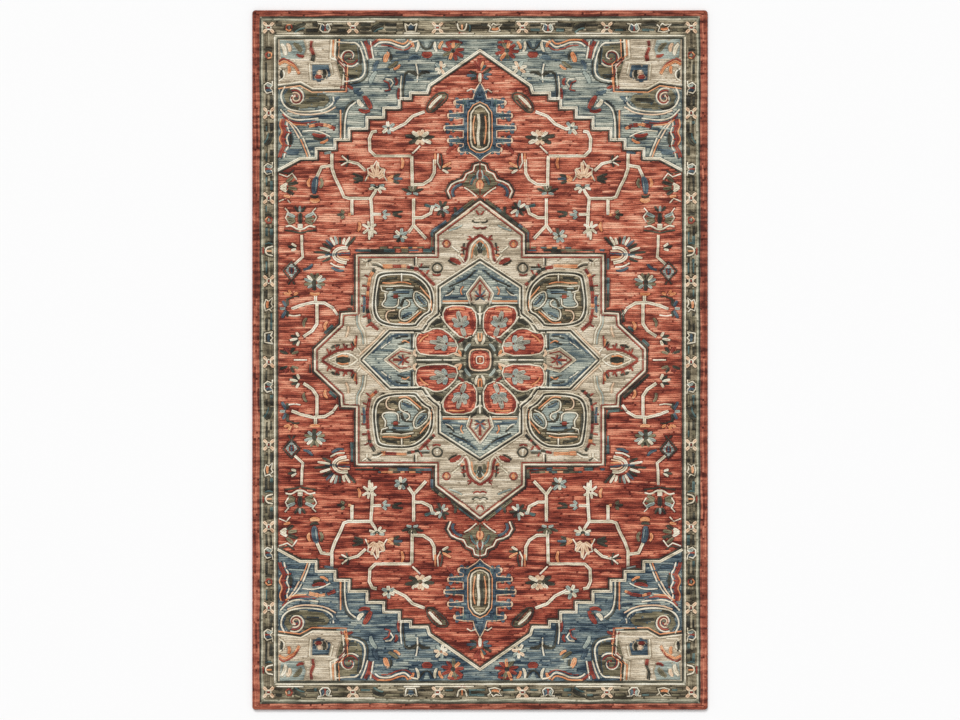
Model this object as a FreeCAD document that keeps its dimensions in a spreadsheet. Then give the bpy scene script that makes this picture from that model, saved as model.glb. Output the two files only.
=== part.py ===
import FreeCAD, Part
import os
import Sketcher

# A hand-hooked wool area rug, lying flat and face up.
# Origin: centre of the rug on the floor. +X across the rug, +Y along it towards
# the head end, +Z up. Lengths in millimetres.
#
# From the floor up the rug is a cotton canvas panel framed by binding tape, a
# latex coat, the foundation cloth, and the wool pile that is hooked through the
# cloth. Each yarn area of the pile is a piece of its own, and pieces meet face
# to face. An overcast yarn edge wraps all the layers round the outside.

DIMENSIONS = [
    # alias, value, what it is
    ("rug_width", 1524.0, "across the rug, over the overcast edge"),
    ("rug_length", 2340.0, "along the rug, over the overcast edge"),
    ("canvas_thickness", 1.2, "cotton canvas and binding tape on the underside"),
    ("latex_thickness", 0.6, "latex coat that locks the yarn"),
    ("foundation_thickness", 1.2, "cotton cloth that the yarn is hooked through"),
    ("pile_height", 8.0, "wool loops above the foundation cloth"),
    ("binding_width", 42.0, "binding tape on the underside"),
    ("whip_width", 6.0, "overcast edge, seen from above"),
    ("whip_height", 10.0, "overcast edge, from the floor"),
    ("whip_round", 2.4, "rounding of the overcast edge's outside"),
    ("edge_band_side", 19.0, "plain rust band along the sides"),
    ("edge_band_end", 15.0, "plain rust band across the ends"),
    ("outer_guard_side", 13.0, "outer guard stripe along the sides"),
    ("outer_guard_end", 15.0, "outer guard stripe across the ends"),
    ("border_side", 35.0, "main border along the sides"),
    ("border_end", 46.0, "main border across the ends"),
    ("inner_guard_side", 14.0, "inner guard stripe along the sides"),
    ("inner_guard_end", 16.0, "inner guard stripe across the ends"),
    ("corner_apex_drop", 43.0, "corner grounds at the rug's centre line, below the field's end"),
    ("pendant_gap", 147.0, "rust field between each end of the field and the blue pendant's tip"),
    ("pendant_length", 257.0, "blue pendant, along the rug"),
    ("medallion_end_gap", 138.0, "rust field between a pendant and the medallion's point"),
    ("medallion_side_gap", 123.0, "rust field between the medallion's blunt side and the inner guard"),
    ("star_half_length", 328.0, "eight-point star as drawn, to its point on the rug's long axis"),
    ("star_half_width", 392.0, "eight-point star as drawn, to its point across the rug"),
]

doc = FreeCAD.newDocument("area_rug")
sheet = doc.addObject("Spreadsheet::Sheet", "Sizes")
for row, (alias, value, meaning) in enumerate(DIMENSIONS, start=1):
    sheet.set(f"A{row}", meaning)
    sheet.set(f"B{row}", str(value))
    sheet.setAlias(f"B{row}", alias)
doc.recompute()

NODES = []


class Length:
    """A length held as a sheet formula together with its present value."""

    def __init__(self, formula, value):
        self.formula = formula
        self.value = value

    def __add__(self, other):
        other = as_length(other)
        return Length(f"{self.formula} + {other.formula}", self.value + other.value)

    def __sub__(self, other):
        other = as_length(other)
        return Length(f"{self.formula} - ({other.formula})", self.value - other.value)

    def times(self, factor):
        factor = as_length(factor)
        return Length(f"({self.formula}) * ({factor.formula})", self.value * factor.value)

    def over(self, divisor):
        divisor = as_length(divisor)
        return Length(f"({self.formula}) / ({divisor.formula})", self.value / divisor.value)


def as_length(number):
    if isinstance(number, Length):
        return number
    return Length(f"({number})", float(number))


def size(alias):
    return Length(f"Sizes.{alias}", float(sheet.get(alias)))


ZERO = as_length(0)
HALF_WIDTH = size("rug_width").times(0.5)
HALF_LENGTH = size("rug_length").times(0.5)

# Heights of the layers' undersides.
LATEX_LEVEL = size("canvas_thickness")
FOUNDATION_LEVEL = LATEX_LEVEL + size("latex_thickness")
PILE_LEVEL = FOUNDATION_LEVEL + size("foundation_thickness")


def band_lines(*names):
    """Half width and half length that are left inside the named bands."""
    half_width = HALF_WIDTH - size("whip_width")
    half_length = HALF_LENGTH - size("whip_width")
    for name in names:
        half_width = half_width - size(f"{name}_side")
        half_length = half_length - size(f"{name}_end")
    return half_width, half_length


FIELD_HALF_WIDTH, FIELD_HALF_LENGTH = band_lines(
    "edge_band", "outer_guard", "border", "inner_guard")

# Along the rug's long axis the field's end sets the pendant's place, and the
# pendant sets the medallion's length.
PENDANT_TIP = FIELD_HALF_LENGTH - size("pendant_gap")
PENDANT_ROOT = PENDANT_TIP - size("pendant_length")
MEDALLION_HALF_LENGTH = PENDANT_ROOT - size("medallion_end_gap")
MEDALLION_HALF_WIDTH = FIELD_HALF_WIDTH - size("medallion_side_gap")


def draw_loop(sketch, points):
    """One closed outline; each corner is held to the origin by sheet formulas."""
    first = sketch.GeometryCount
    corners = [FreeCAD.Vector(x.value, y.value, 0) for x, y in points]
    sides = [Part.LineSegment(start, end) for start, end in zip(corners, corners[1:] + corners[:1])]
    sketch.addGeometry(sides)
    joined = [Sketcher.Constraint("Coincident", first + i, 2, first + (i + 1) % len(points), 1)
              for i in range(len(points))]
    sketch.addConstraint(joined)
    held = sketch.ConstraintCount
    places = []
    formulas = []
    for i, (x, y) in enumerate(points):
        for kind, length in (("DistanceX", x), ("DistanceY", y)):
            places.append(Sketcher.Constraint(kind, -1, 1, first + i, 1, length.value))
            formulas.append(length.formula)
    sketch.addConstraint(places)
    for offset, formula in enumerate(formulas):
        sketch.setExpression(f"Constraints[{held + offset}]", formula)


def prism(label, loops, level, height):
    """A flat piece with the outline that the loops draw, standing on a level."""
    body = doc.addObject("PartDesign::Body", label)
    body.Label = label
    sketch = body.newObject("Sketcher::SketchObject", f"{label}_outline")
    plane = [part for part in body.Origin.OriginFeatures if part.Role == "XY_Plane"][0]
    sketch.AttachmentSupport = [(plane, "")]
    sketch.MapMode = "FlatFace"
    for points in loops:
        draw_loop(sketch, points)
    pad = body.newObject("PartDesign::Pad", f"{label}_pad")
    pad.Profile = sketch
    pad.setExpression("Length", height.formula)
    body.setExpression("Placement.Base.z", level.formula)
    return body


def keep(item):
    NODES.append(item)
    return item


def rectangle(half_width, half_length):
    left = half_width.times(-1)
    foot = half_length.times(-1)
    return [(left, foot), (half_width, foot), (half_width, half_length), (left, half_length)]


def mirrored(points, sign_x, sign_y):
    return [(x.times(sign_x), y.times(sign_y)) for x, y in points]


QUARTERS = {"head_right": (1, 1), "head_left": (-1, 1),
            "foot_right": (1, -1), "foot_left": (-1, -1)}


# The medallion's pattern is drawn at this size, and stretched to the medallion's own.
DRAWN_HALF_WIDTH = 552
DRAWN_HALF_LENGTH = 530
ACROSS = MEDALLION_HALF_WIDTH.over(DRAWN_HALF_WIDTH)
ALONG = MEDALLION_HALF_LENGTH.over(DRAWN_HALF_LENGTH)


def drawn(points):
    """Points of the medallion's pattern, stretched to the medallion's size."""
    return [(ACROSS.times(x), ALONG.times(y)) for x, y in points]


def four_fold(quarter):
    """Closes the outline whose head-right quarter runs from the long axis to the cross axis."""
    points = drawn(quarter)
    on_axis = points[0], points[-1]
    inside = points[1:-1]
    outline = [on_axis[0]] + inside + [on_axis[1]]
    outline += mirrored(inside[::-1], 1, -1) + mirrored([on_axis[0]], 1, -1)
    outline += mirrored(inside, -1, -1) + mirrored([on_axis[1]], -1, 1)
    outline += mirrored(inside[::-1], -1, 1)
    return outline


def frame_strips(name, outer, inner, level, height):
    """Four mitred strips that frame the rug between two rectangles."""
    (outer_x, outer_y), (inner_x, inner_y) = outer, inner
    end = [(outer_x.times(-1), outer_y), (outer_x, outer_y),
           (inner_x, inner_y), (inner_x.times(-1), inner_y)]
    side = [(outer_x, outer_y), (outer_x, outer_y.times(-1)),
            (inner_x, inner_y.times(-1)), (inner_x, inner_y)]
    outlines = {"head": end, "foot": mirrored(end, 1, -1),
                "right": side, "left": mirrored(side, -1, 1)}
    return {edge: prism(f"{name}_{edge}", [outline], level, height)
            for edge, outline in outlines.items()}


# Overcast edge: yarn wrapped over the rug's cut edge, rounded on the outside.
RUG_RECTANGLE = (HALF_WIDTH, HALF_LENGTH)
INSIDE_WHIP = band_lines()
whips = frame_strips("whipped_edge", RUG_RECTANGLE, INSIDE_WHIP, ZERO, size("whip_height"))
doc.recompute()
for whip in whips.values():
    along_x = whip.Shape.BoundBox.XLength > whip.Shape.BoundBox.YLength
    outer_edges = []
    for number, edge in enumerate(whip.Shape.Edges, start=1):
        middle = edge.CenterOfMass
        reach = abs(middle.y) - HALF_LENGTH.value if along_x else abs(middle.x) - HALF_WIDTH.value
        upright = edge.BoundBox.ZLength > 1
        if abs(reach) < 1e-6 and not upright:
            outer_edges.append(f"Edge{number}")
    square_strip = whip.Tip
    rounding = whip.newObject("PartDesign::Fillet", f"{whip.Label}_rounding")
    rounding.Base = (square_strip, outer_edges)
    rounding.setExpression("Radius", "Sizes.whip_round")
    whip.Tip = rounding
    keep(whip)

# Underside: a frame of binding tape with the canvas panel inside it.
inside_tape = (INSIDE_WHIP[0] - size("binding_width"), INSIDE_WHIP[1] - size("binding_width"))
for tape in frame_strips("binding_tape", INSIDE_WHIP, inside_tape, ZERO, size("canvas_thickness")).values():
    keep(tape)
keep(prism("backing_canvas", [rectangle(*inside_tape)], ZERO, size("canvas_thickness")))

# The latex coat and the foundation cloth fill the overcast edge.
keep(prism("latex_coat", [rectangle(*INSIDE_WHIP)], LATEX_LEVEL, size("latex_thickness")))
keep(prism("foundation_cloth", [rectangle(*INSIDE_WHIP)], FOUNDATION_LEVEL, size("foundation_thickness")))


def pile(label, *loops):
    return keep(prism(label, loops, PILE_LEVEL, size("pile_height")))


# Border: four framed stripes, from the overcast edge to the field.
stripes = []
for stripe in ("edge_band", "outer_guard", "border", "inner_guard"):
    outer = band_lines(*stripes)
    stripes.append(stripe)
    inner = band_lines(*stripes)
    for strip in frame_strips(f"{stripe}_pile", outer, inner, PILE_LEVEL, size("pile_height")).values():
        keep(strip)


# Corner grounds: their stepped side runs from the rug's side edge up to its long
# axis. Points are measured from the field's corner, across and then along.
CORNER_START = (0, 443)
CORNER_SHOULDER = (75, 403)
CORNER_STEPS = [(57, 33), (63, 30), (47, 37), (60, 37), (56, 32), (52, 31), (37, 19), (55, 0)]
CORNER_SHOULDER_TO_APEX = (8, 26)
# The beige quarter medallion in the corner of the field, measured the same way.
QUARTER_MEDALLION = [(197, 0), (193, 62), (225, 87), (220, 167), (115, 169), (75, 147), (0, 157)]


def from_corner(across, along):
    return FIELD_HALF_WIDTH - across, FIELD_HALF_LENGTH - along


def stepped_side():
    """Corner ground's side from the rug's side edge to the long axis."""
    points = [CORNER_START, CORNER_SHOULDER]
    across, along = CORNER_SHOULDER
    for run, rise in CORNER_STEPS:
        across += run
        points.append((across, along))
        if rise:
            along -= rise
            points.append((across, along))
    across += CORNER_SHOULDER_TO_APEX[0]
    along -= CORNER_SHOULDER_TO_APEX[1]
    points.append((across, along))
    corner = [from_corner(*point) for point in points]
    corner.append((ZERO, FIELD_HALF_LENGTH - size("corner_apex_drop")))
    return corner


beige_side = [from_corner(*point) for point in QUARTER_MEDALLION]
ground_outline = stepped_side() + [(ZERO, FIELD_HALF_LENGTH)] + beige_side
beige_outline = beige_side + [(FIELD_HALF_WIDTH, FIELD_HALF_LENGTH)]
inlays = []
for quarter, signs in QUARTERS.items():
    inlays.append(pile(f"corner_ground_{quarter}", mirrored(ground_outline, *signs)))
    inlays.append(pile(f"quarter_medallion_{quarter}", mirrored(beige_outline, *signs)))

# Blue pendants: serrated motifs on the long axis between the medallion and each
# end, round a long olive heart. Points give the half breadth, then the distance
# down from the outer tip on a pendant of the drawn length; each spike gives its
# reach and its place.
DRAWN_PENDANT = 257
PENDANT_BODY = 54
PENDANT_SPIKES = [(80, 63), (104, 108), (118, 149), (104, 192)]
PENDANT_SHOULDER = [(14, 25), (22, 54)]
PENDANT_FOOT = [(PENDANT_BODY, 212), (70, 219), (64, 229), (40, 227), (12, 245)]
PENDANT_HEART = [(18, 79), (32, 99), (34, 125), (34, 195), (28, 213), (12, 223)]
HEART_TOP = 70
HEART_BOTTOM = 225


def below_tip(points):
    stretch = size("pendant_length").over(DRAWN_PENDANT)
    return [(as_length(across), PENDANT_TIP - stretch.times(along)) for across, along in points]


SPIKE_ROOT = 8
SPIKE_END = 4
pendant_side = list(PENDANT_SHOULDER)
for reach, along in PENDANT_SPIKES:
    pendant_side += [(PENDANT_BODY, along - SPIKE_ROOT), (reach, along - SPIKE_END),
                     (reach, along + SPIKE_END), (PENDANT_BODY, along + SPIKE_ROOT)]
pendant_half = below_tip(pendant_side + PENDANT_FOOT)
pendant_outline = [(ZERO, PENDANT_TIP)] + pendant_half
pendant_outline += [(ZERO, PENDANT_ROOT)] + mirrored(pendant_half[::-1], -1, 1)
heart_half = below_tip(PENDANT_HEART)
pendant_heart = below_tip([(0, HEART_TOP)]) + heart_half
pendant_heart += below_tip([(0, HEART_BOTTOM)]) + mirrored(heart_half[::-1], -1, 1)
for end, sign in (("head", 1), ("foot", -1)):
    heart_outline = mirrored(pendant_heart, 1, sign)
    inlays.append(pile(f"pendant_{end}", mirrored(pendant_outline, 1, sign), heart_outline))
    inlays.append(pile(f"pendant_heart_{end}", heart_outline))

# Centre medallion, star and rosette. Each list is the head-right quarter, from
# the long axis round to the cross axis; four_fold mirrors it about both axes.
medallion = four_fold([(0, DRAWN_HALF_LENGTH), (147, 420), (147, 350), (412, 350), (412, 157),
                       (462, 155), (464, 118), (DRAWN_HALF_WIDTH, 36), (DRAWN_HALF_WIDTH, 0)])
star = four_fold([(0, size("star_half_length")), (133, 242), (133, 152), (165, 125), (187, 92), (300, 92),
                  (size("star_half_width"), 0)])
rosette = four_fold([(0, 187), (133, 187), (133, 152), (165, 125), (187, 92), (222, 92), (222, 0)])
heart = four_fold([(0, 36), (26, 26), (36, 0)])


CARTOUCHE = drawn([(154, 158), (154, 240), (207, 291), (252, 298), (338, 294), (352, 272),
                     (364, 155), (330, 112), (214, 107), (206, 120), (180, 148)])
LONG_PETAL = drawn([(14, 88), (12, 152), (34, 178), (110, 180), (126, 148), (106, 112), (56, 70)])
WIDE_PETAL = drawn([(74, 54), (116, 98), (150, 106), (180, 90), (212, 86), (214, 36), (194, 18), (84, 16)])

cartouches = {quarter: mirrored(CARTOUCHE, *signs) for quarter, signs in QUARTERS.items()}
petals = [mirrored(petal, *signs) for petal in (LONG_PETAL, WIDE_PETAL) for signs in QUARTERS.values()]

field_gap = prism("medallion_gap", [medallion], PILE_LEVEL, size("pile_height"))
pile("medallion_ground", medallion, star, *cartouches.values())
for quarter, outline in cartouches.items():
    pile(f"cartouche_{quarter}", outline)
pile("rosette_ground", rosette, heart, *petals)
pile("rosette_petals", *petals)
pile("rosette_heart", heart)

# Each arm of the star is blue yarn round a beige spade.
spade_y = drawn([(-36, 187), (-47, 222), (0, 282), (47, 222), (36, 187)])
spade_x = drawn([(222, 30), (268, 42), (322, 0), (268, -42), (222, -30)])
arm_y = spade_y + drawn([(133, 187), (133, 242), (0, size("star_half_length")), (-133, 242), (-133, 187)])
arm_x = spade_x + drawn([(222, -92), (300, -92), (size("star_half_width"), 0), (300, 92), (222, 92)])
for arm, outline, spade, signs in (("head", arm_y, spade_y, (1, 1)), ("foot", arm_y, spade_y, (1, -1)),
                                   ("right", arm_x, spade_x, (1, 1)), ("left", arm_x, spade_x, (-1, 1))):
    pile(f"star_arm_{arm}", mirrored(outline, *signs))
    pile(f"star_spade_{arm}", mirrored(spade, *signs))

# Field: the rust pile that is left between the corners, pendants and medallion.
field_sheet = prism("field_sheet", [rectangle(FIELD_HALF_WIDTH, FIELD_HALF_LENGTH)],
                    PILE_LEVEL, size("pile_height"))
field_inlays = doc.addObject("Part::MultiFuse", "field_inlays")
field_inlays.Shapes = inlays + [field_gap]
field = doc.addObject("Part::Cut", "field_pile")
field.Label = "field_pile"
field.Base = field_sheet
field.Tool = field_inlays
keep(field)

doc.recompute()

faults = [item.Name for item in doc.Objects if {"Invalid", "Error"} & set(item.State)]
faults += [item.Label for item in NODES if item.Shape.isNull() or not item.Shape.isValid()]
if faults:
    raise RuntimeError(f"failed objects: {sorted(set(faults))}")

os.makedirs("parts", exist_ok=True)
for item in NODES:
    item.Shape.exportStep(f"parts/{item.Label}.step")
print(f"{len(NODES)} pieces written")
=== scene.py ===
import math
import random

import bmesh
import bpy
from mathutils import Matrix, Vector


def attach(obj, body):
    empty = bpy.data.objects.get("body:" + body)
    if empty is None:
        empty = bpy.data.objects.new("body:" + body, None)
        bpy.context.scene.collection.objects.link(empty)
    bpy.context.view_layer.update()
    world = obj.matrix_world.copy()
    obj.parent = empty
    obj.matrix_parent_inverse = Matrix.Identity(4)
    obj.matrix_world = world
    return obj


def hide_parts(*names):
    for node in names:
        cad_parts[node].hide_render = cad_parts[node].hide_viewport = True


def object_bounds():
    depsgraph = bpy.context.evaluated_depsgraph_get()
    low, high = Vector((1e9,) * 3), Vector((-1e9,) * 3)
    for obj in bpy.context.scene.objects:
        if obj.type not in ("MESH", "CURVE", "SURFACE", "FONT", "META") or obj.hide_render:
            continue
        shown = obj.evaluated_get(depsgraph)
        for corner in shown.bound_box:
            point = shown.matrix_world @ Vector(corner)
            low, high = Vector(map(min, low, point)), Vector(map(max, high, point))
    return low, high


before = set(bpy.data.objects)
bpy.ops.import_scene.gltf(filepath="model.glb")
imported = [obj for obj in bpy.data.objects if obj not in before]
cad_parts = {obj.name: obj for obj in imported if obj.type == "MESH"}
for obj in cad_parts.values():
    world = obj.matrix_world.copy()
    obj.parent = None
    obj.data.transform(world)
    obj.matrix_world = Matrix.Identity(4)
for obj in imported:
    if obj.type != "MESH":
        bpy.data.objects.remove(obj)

cad_low, cad_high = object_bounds()

# Shapes are written in millimetres, across and along the rug from its centre.
MM = 0.001
RUG_TOP = cad_high.z

# ------------------------------------------------------------------ studio
# A long lens straight above the middle of the rug, square to it, over a plain
# pale floor. The rug's width fills a little under half of the picture.
PICTURE_WIDTH = 3.2084
LENS = 100
SENSOR = 36
FARTHEST = 60
camera = bpy.data.cameras.new("camera")
camera.lens = LENS
camera.sensor_width = SENSOR
camera.clip_end = FARTHEST
camera_stand = bpy.data.objects.new("camera", camera)
camera_stand.location = (0, 0, RUG_TOP + PICTURE_WIDTH * LENS / SENSOR)
bpy.context.scene.collection.objects.link(camera_stand)
bpy.context.scene.camera = camera_stand
bpy.context.scene.view_settings.view_transform = "Standard"

# Daylight from every side, and one broad soft lamp low over the head end, which
# shows up the rows of loops.
WHITE = (1.0, 1.0, 1.0, 1.0)
DAYLIGHT_STRENGTH = 0.62
LAMP_STRENGTH = 2.1
LAMP_SPREAD = math.radians(24)
LAMP_TILT = math.radians(-48)
LAMP_LEAN = math.radians(-16)
world = bpy.data.worlds.new("studio")
bpy.context.scene.world = world
world.use_nodes = True
daylight = world.node_tree.nodes["Background"]
daylight.inputs["Color"].default_value = WHITE
daylight.inputs["Strength"].default_value = DAYLIGHT_STRENGTH

# The camera sees a whiter wall than the one that lights the rug, so that the
# floor runs into it.
wall = world.node_tree.nodes.new("ShaderNodeBackground")
wall.inputs["Color"].default_value = WHITE
sight = world.node_tree.nodes.new("ShaderNodeLightPath")
seen = world.node_tree.nodes.new("ShaderNodeMixShader")
world.node_tree.links.new(sight.outputs["Is Camera Ray"], seen.inputs[0])
world.node_tree.links.new(daylight.outputs[0], seen.inputs[1])
world.node_tree.links.new(wall.outputs[0], seen.inputs[2])
world.node_tree.links.new(seen.outputs[0], world.node_tree.nodes["World Output"].inputs["Surface"])

lamp = bpy.data.lights.new("window", "SUN")
lamp.energy = LAMP_STRENGTH
lamp.angle = LAMP_SPREAD
lamp_stand = bpy.data.objects.new("window", lamp)
lamp_stand.rotation_euler = (LAMP_TILT, LAMP_LEAN, 0)
bpy.context.scene.collection.objects.link(lamp_stand)

FLOOR_HALF = 8.0
FLOOR_WHITE = (0.93, 0.93, 0.93, 1)
FLOOR_ROUGHNESS = 0.9
bm = bmesh.new()
bmesh.ops.create_grid(bm, x_segments=1, y_segments=1, size=FLOOR_HALF)
floor_mesh = bpy.data.meshes.new("floor")
bm.to_mesh(floor_mesh)
bm.free()
floor = bpy.data.objects.new("floor", floor_mesh)
bpy.context.scene.collection.objects.link(floor)
floor_paint = bpy.data.materials.new("floor_paint")
floor_paint.use_nodes = True
matt_white = floor_paint.node_tree.nodes["Principled BSDF"]
matt_white.inputs["Base Color"].default_value = FLOOR_WHITE
matt_white.inputs["Roughness"].default_value = FLOOR_ROUGHNESS
floor_mesh.materials.append(floor_paint)


# ------------------------------------------------------------------ materials
# Each is built round one Principled shader. What feeds it is worked out with
# Python expressions on the sockets.
class Signal:
    """A shader socket that Python expressions can use."""

    def __init__(self, recipe, socket):
        self.recipe = recipe
        self.socket = socket

    def math(self, operation, *others):
        return self.recipe.node("ShaderNodeMath", {"operation": operation}, (self, *others))

    def __add__(self, other):
        return self.math("ADD", other)

    __radd__ = __add__

    def __sub__(self, other):
        return self.math("SUBTRACT", other)

    def __rsub__(self, other):
        return self * -1 + other

    def __mul__(self, other):
        return self.math("MULTIPLY", other)

    __rmul__ = __mul__

    def within(self, low, high):
        return self.math("MAXIMUM", low).math("MINIMUM", high)


def dye(red, green, blue):
    """A colour as a dyer's sample card gives it, 0 to 255, made linear for the shader."""
    card = [channel / 255 for channel in (red, green, blue)]
    linear = [c / 12.92 if c <= 0.04 else ((c + 0.055) / 1.055) ** 2.4 for c in card]
    return (*linear, 1.0)


class Recipe:
    """A material while it is put together round its one Principled shader."""

    def __init__(self, name, **constants):
        self.material = bpy.data.materials.new(name)
        self.material.use_nodes = True
        self.nodes = self.material.node_tree.nodes
        self.links = self.material.node_tree.links
        self.shader = self.nodes["Principled BSDF"]
        for key, value in constants.items():
            self.shader.inputs[key.replace("_", " ")].default_value = value

    def feed(self, node, key, value):
        named = [s for s in node.inputs if key in (s.identifier, s.name)]
        socket = named[0] if named else node.inputs[key]
        if isinstance(value, Signal):
            self.links.new(value.socket, socket)
        else:
            socket.default_value = value

    def node(self, kind, settings=None, values=(), output=0):
        node = self.nodes.new(kind)
        for key, value in (settings or {}).items():
            if key == "stops":
                ramp = node.color_ramp.elements
                while len(ramp) < len(value):
                    ramp.new(1.0)
                for stop, (position, colour) in zip(ramp, value):
                    stop.position = position
                    stop.color = colour
            else:
                setattr(node, key, value)
        pairs = values.items() if isinstance(values, dict) else enumerate(values)
        for key, value in pairs:
            self.feed(node, key, value)
        named = [s for s in node.outputs if output in (s.identifier, s.name)]
        return Signal(self, named[0] if named else node.outputs[output])

    def place(self):
        return self.node("ShaderNodeTexCoord", output="Object")

    def axis(self, place, letter):
        return self.node("ShaderNodeSeparateXYZ", values={"Vector": place}, output=letter)

    def mix(self, first, second, share):
        values = {"A_Color": first, "B_Color": second, "Factor_Float": share}
        return self.node("ShaderNodeMix", {"data_type": "RGBA"}, values, "Result_Color")

    def noise(self, place, scale, detail=2.0, stretch=(1, 1, 1)):
        moved = self.node("ShaderNodeMapping", values={"Vector": place, "Scale": stretch})
        values = {"Vector": moved, "Scale": scale, "Detail": detail}
        return self.node("ShaderNodeTexNoise", values=values)

    def ramp(self, tone, shades):
        last = len(shades) - 1
        stops = [(i / last, shade) for i, shade in enumerate(shades)]
        return self.node("ShaderNodeValToRGB", {"stops": stops}, {"Fac": tone}, "Color")

    def bump(self, height, strength, distance):
        values = {"Height": height, "Strength": strength, "Distance": distance}
        self.feed(self.shader, "Normal", self.node("ShaderNodeBump", values=values))


SLUB_SCALE = 40.0


def woven(name, shades, thread):
    """Plain-woven cotton: crossing threads at the given pitch, with slubs and soil."""
    recipe = Recipe(name, Roughness=0.92, Sheen_Weight=0.15)
    place = recipe.place()
    warp = (recipe.axis(place, "X") * (math.pi / thread)).math("SINE")
    weft = (recipe.axis(place, "Y") * (math.pi / thread)).math("SINE")
    weave = warp * weft * 0.5 + 0.5
    slubs = recipe.noise(place, SLUB_SCALE, 4.0)
    colour = recipe.ramp(weave * 0.35 + slubs * 0.7 - 0.05, shades)
    recipe.feed(recipe.shader, "Base Color", colour)
    recipe.bump(weave * 0.7 + slubs * 0.3, 0.5, thread * 0.4)
    return recipe.material


# ------------------------------------------------------------------ pieces
# Every piece rides on the rug's one body. The ones that stand in for CAD nodes
# name them.
def add_piece(name, mesh, material, slot, *nodes):
    piece = bpy.data.objects.new(name, mesh)
    mesh.materials.clear()
    mesh.materials.append(material)
    bpy.context.scene.collection.objects.link(piece)
    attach(piece, "root")
    if nodes:
        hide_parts(*nodes)
    return piece


def cad_solid(node):
    """A node's CAD mesh with its loose triangles joined."""
    solid = bmesh.new()
    solid.from_mesh(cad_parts[node].data)
    bmesh.ops.remove_doubles(solid, verts=solid.verts, dist=0.01 * MM)
    return solid


def soft_layer(name, node, material, slot, edge):
    """A flat layer cut to its CAD node, its edges eased."""
    solid = cad_solid(node)
    bmesh.ops.dissolve_limit(solid, angle_limit=0.01, verts=solid.verts, edges=solid.edges)
    bmesh.ops.bevel(solid, geom=solid.edges, offset=edge * MM, affect="EDGES", segments=2,
                    profile=0.5, material=-1)
    mesh = bpy.data.meshes.new(name)
    solid.to_mesh(mesh)
    solid.free()
    return add_piece(name, mesh, material, slot, node)


# ------------------------------------------------------------------ underside
# Canvas panel: plain-woven cotton, glued under the rug by the latex coat. The
# sheet is cut to the inside of the binding tape and lies flat on the floor.
CANVAS_THREAD = 1.6
TAPE_THREAD = 1.1
OPEN_THREAD = 2.2
canvas_shades = [dye(150, 134, 104), dye(196, 180, 148), dye(222, 208, 178)]
canvas_cotton = woven("canvas_cotton", canvas_shades, CANVAS_THREAD * MM)
canvas = soft_layer("backing_canvas_cloth", "backing_canvas", canvas_cotton, "cotton_cloth", edge=0.3)

# Binding tape: four mitred lengths of cotton tape, sewn round the underside.
tape_shades = [dye(112, 92, 66), dye(156, 132, 98), dye(188, 164, 128)]
tape_cotton = woven("tape_cotton", tape_shades, TAPE_THREAD * MM)
END_LENGTH = 1.512
SIDE_LENGTH = 2.328
tape_lengths = {"head": END_LENGTH, "foot": END_LENGTH, "left": SIDE_LENGTH, "right": SIDE_LENGTH}
for edge, length in tape_lengths.items():
    tape = soft_layer(f"binding_tape_cloth_{edge}", f"binding_tape_{edge}",
                      tape_cotton, "binding_cotton", edge=0.25)

# Latex coat: brushed over the back of the foundation cloth, so that no loop can
# pull out. It cures matt and slightly uneven.
rubbery = Recipe("cured_latex", Roughness=0.7)
brushed = rubbery.noise(rubbery.place(), 9.0, 4.0, (1, 6, 1))
film_colour = rubbery.ramp(brushed, [dye(176, 166, 140), dye(210, 202, 180)])
rubbery.feed(rubbery.shader, "Base Color", film_colour)
rubbery.bump(brushed, 0.3, 0.4 * MM)
soft_layer("latex_coat_film", "latex_coat", rubbery.material, "latex", edge=0.15)

# Foundation cloth: open-weave cotton that every loop is hooked through.
open_shades = [dye(140, 126, 98), dye(190, 176, 146), dye(214, 202, 174)]
open_weave = woven("open_weave", open_shades, OPEN_THREAD * MM)
foundation = soft_layer("foundation_cloth_weave", "foundation_cloth", open_weave, "cotton_cloth", 0.3)


# ------------------------------------------------------------------ overcast edge
# Heavy wool yarn sewn over the cut edge, through all the layers, so that a round
# rope of wool, pinched between one stitch and the next, runs round the rug.
WHIP_RADIUS = 5.0
STITCH = 5.0
CORNER_RADIUS = 6.5
CORNER_STEPS = 6
PINCHED = 0.86          # how thin the yarn is between two stitches
LOOP_WIDTH = 4.4        # of one loop of pile, seen from above
WHIP_LOOP = 3.0
MOTIF_LOOP = 3.6
STREAK_SCALE = (16, 70, 40)
FIBRE_SCALE = 500.0
STRIP_SHARE = 0.75      # how much of the shade comes from the strip, its streaks and its fibres
STREAK_SHARE = 2.4
FIBRE_SHARE = 0.9
SHADE_LIFT = 0.12       # lifts the darkest strips off black


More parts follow.
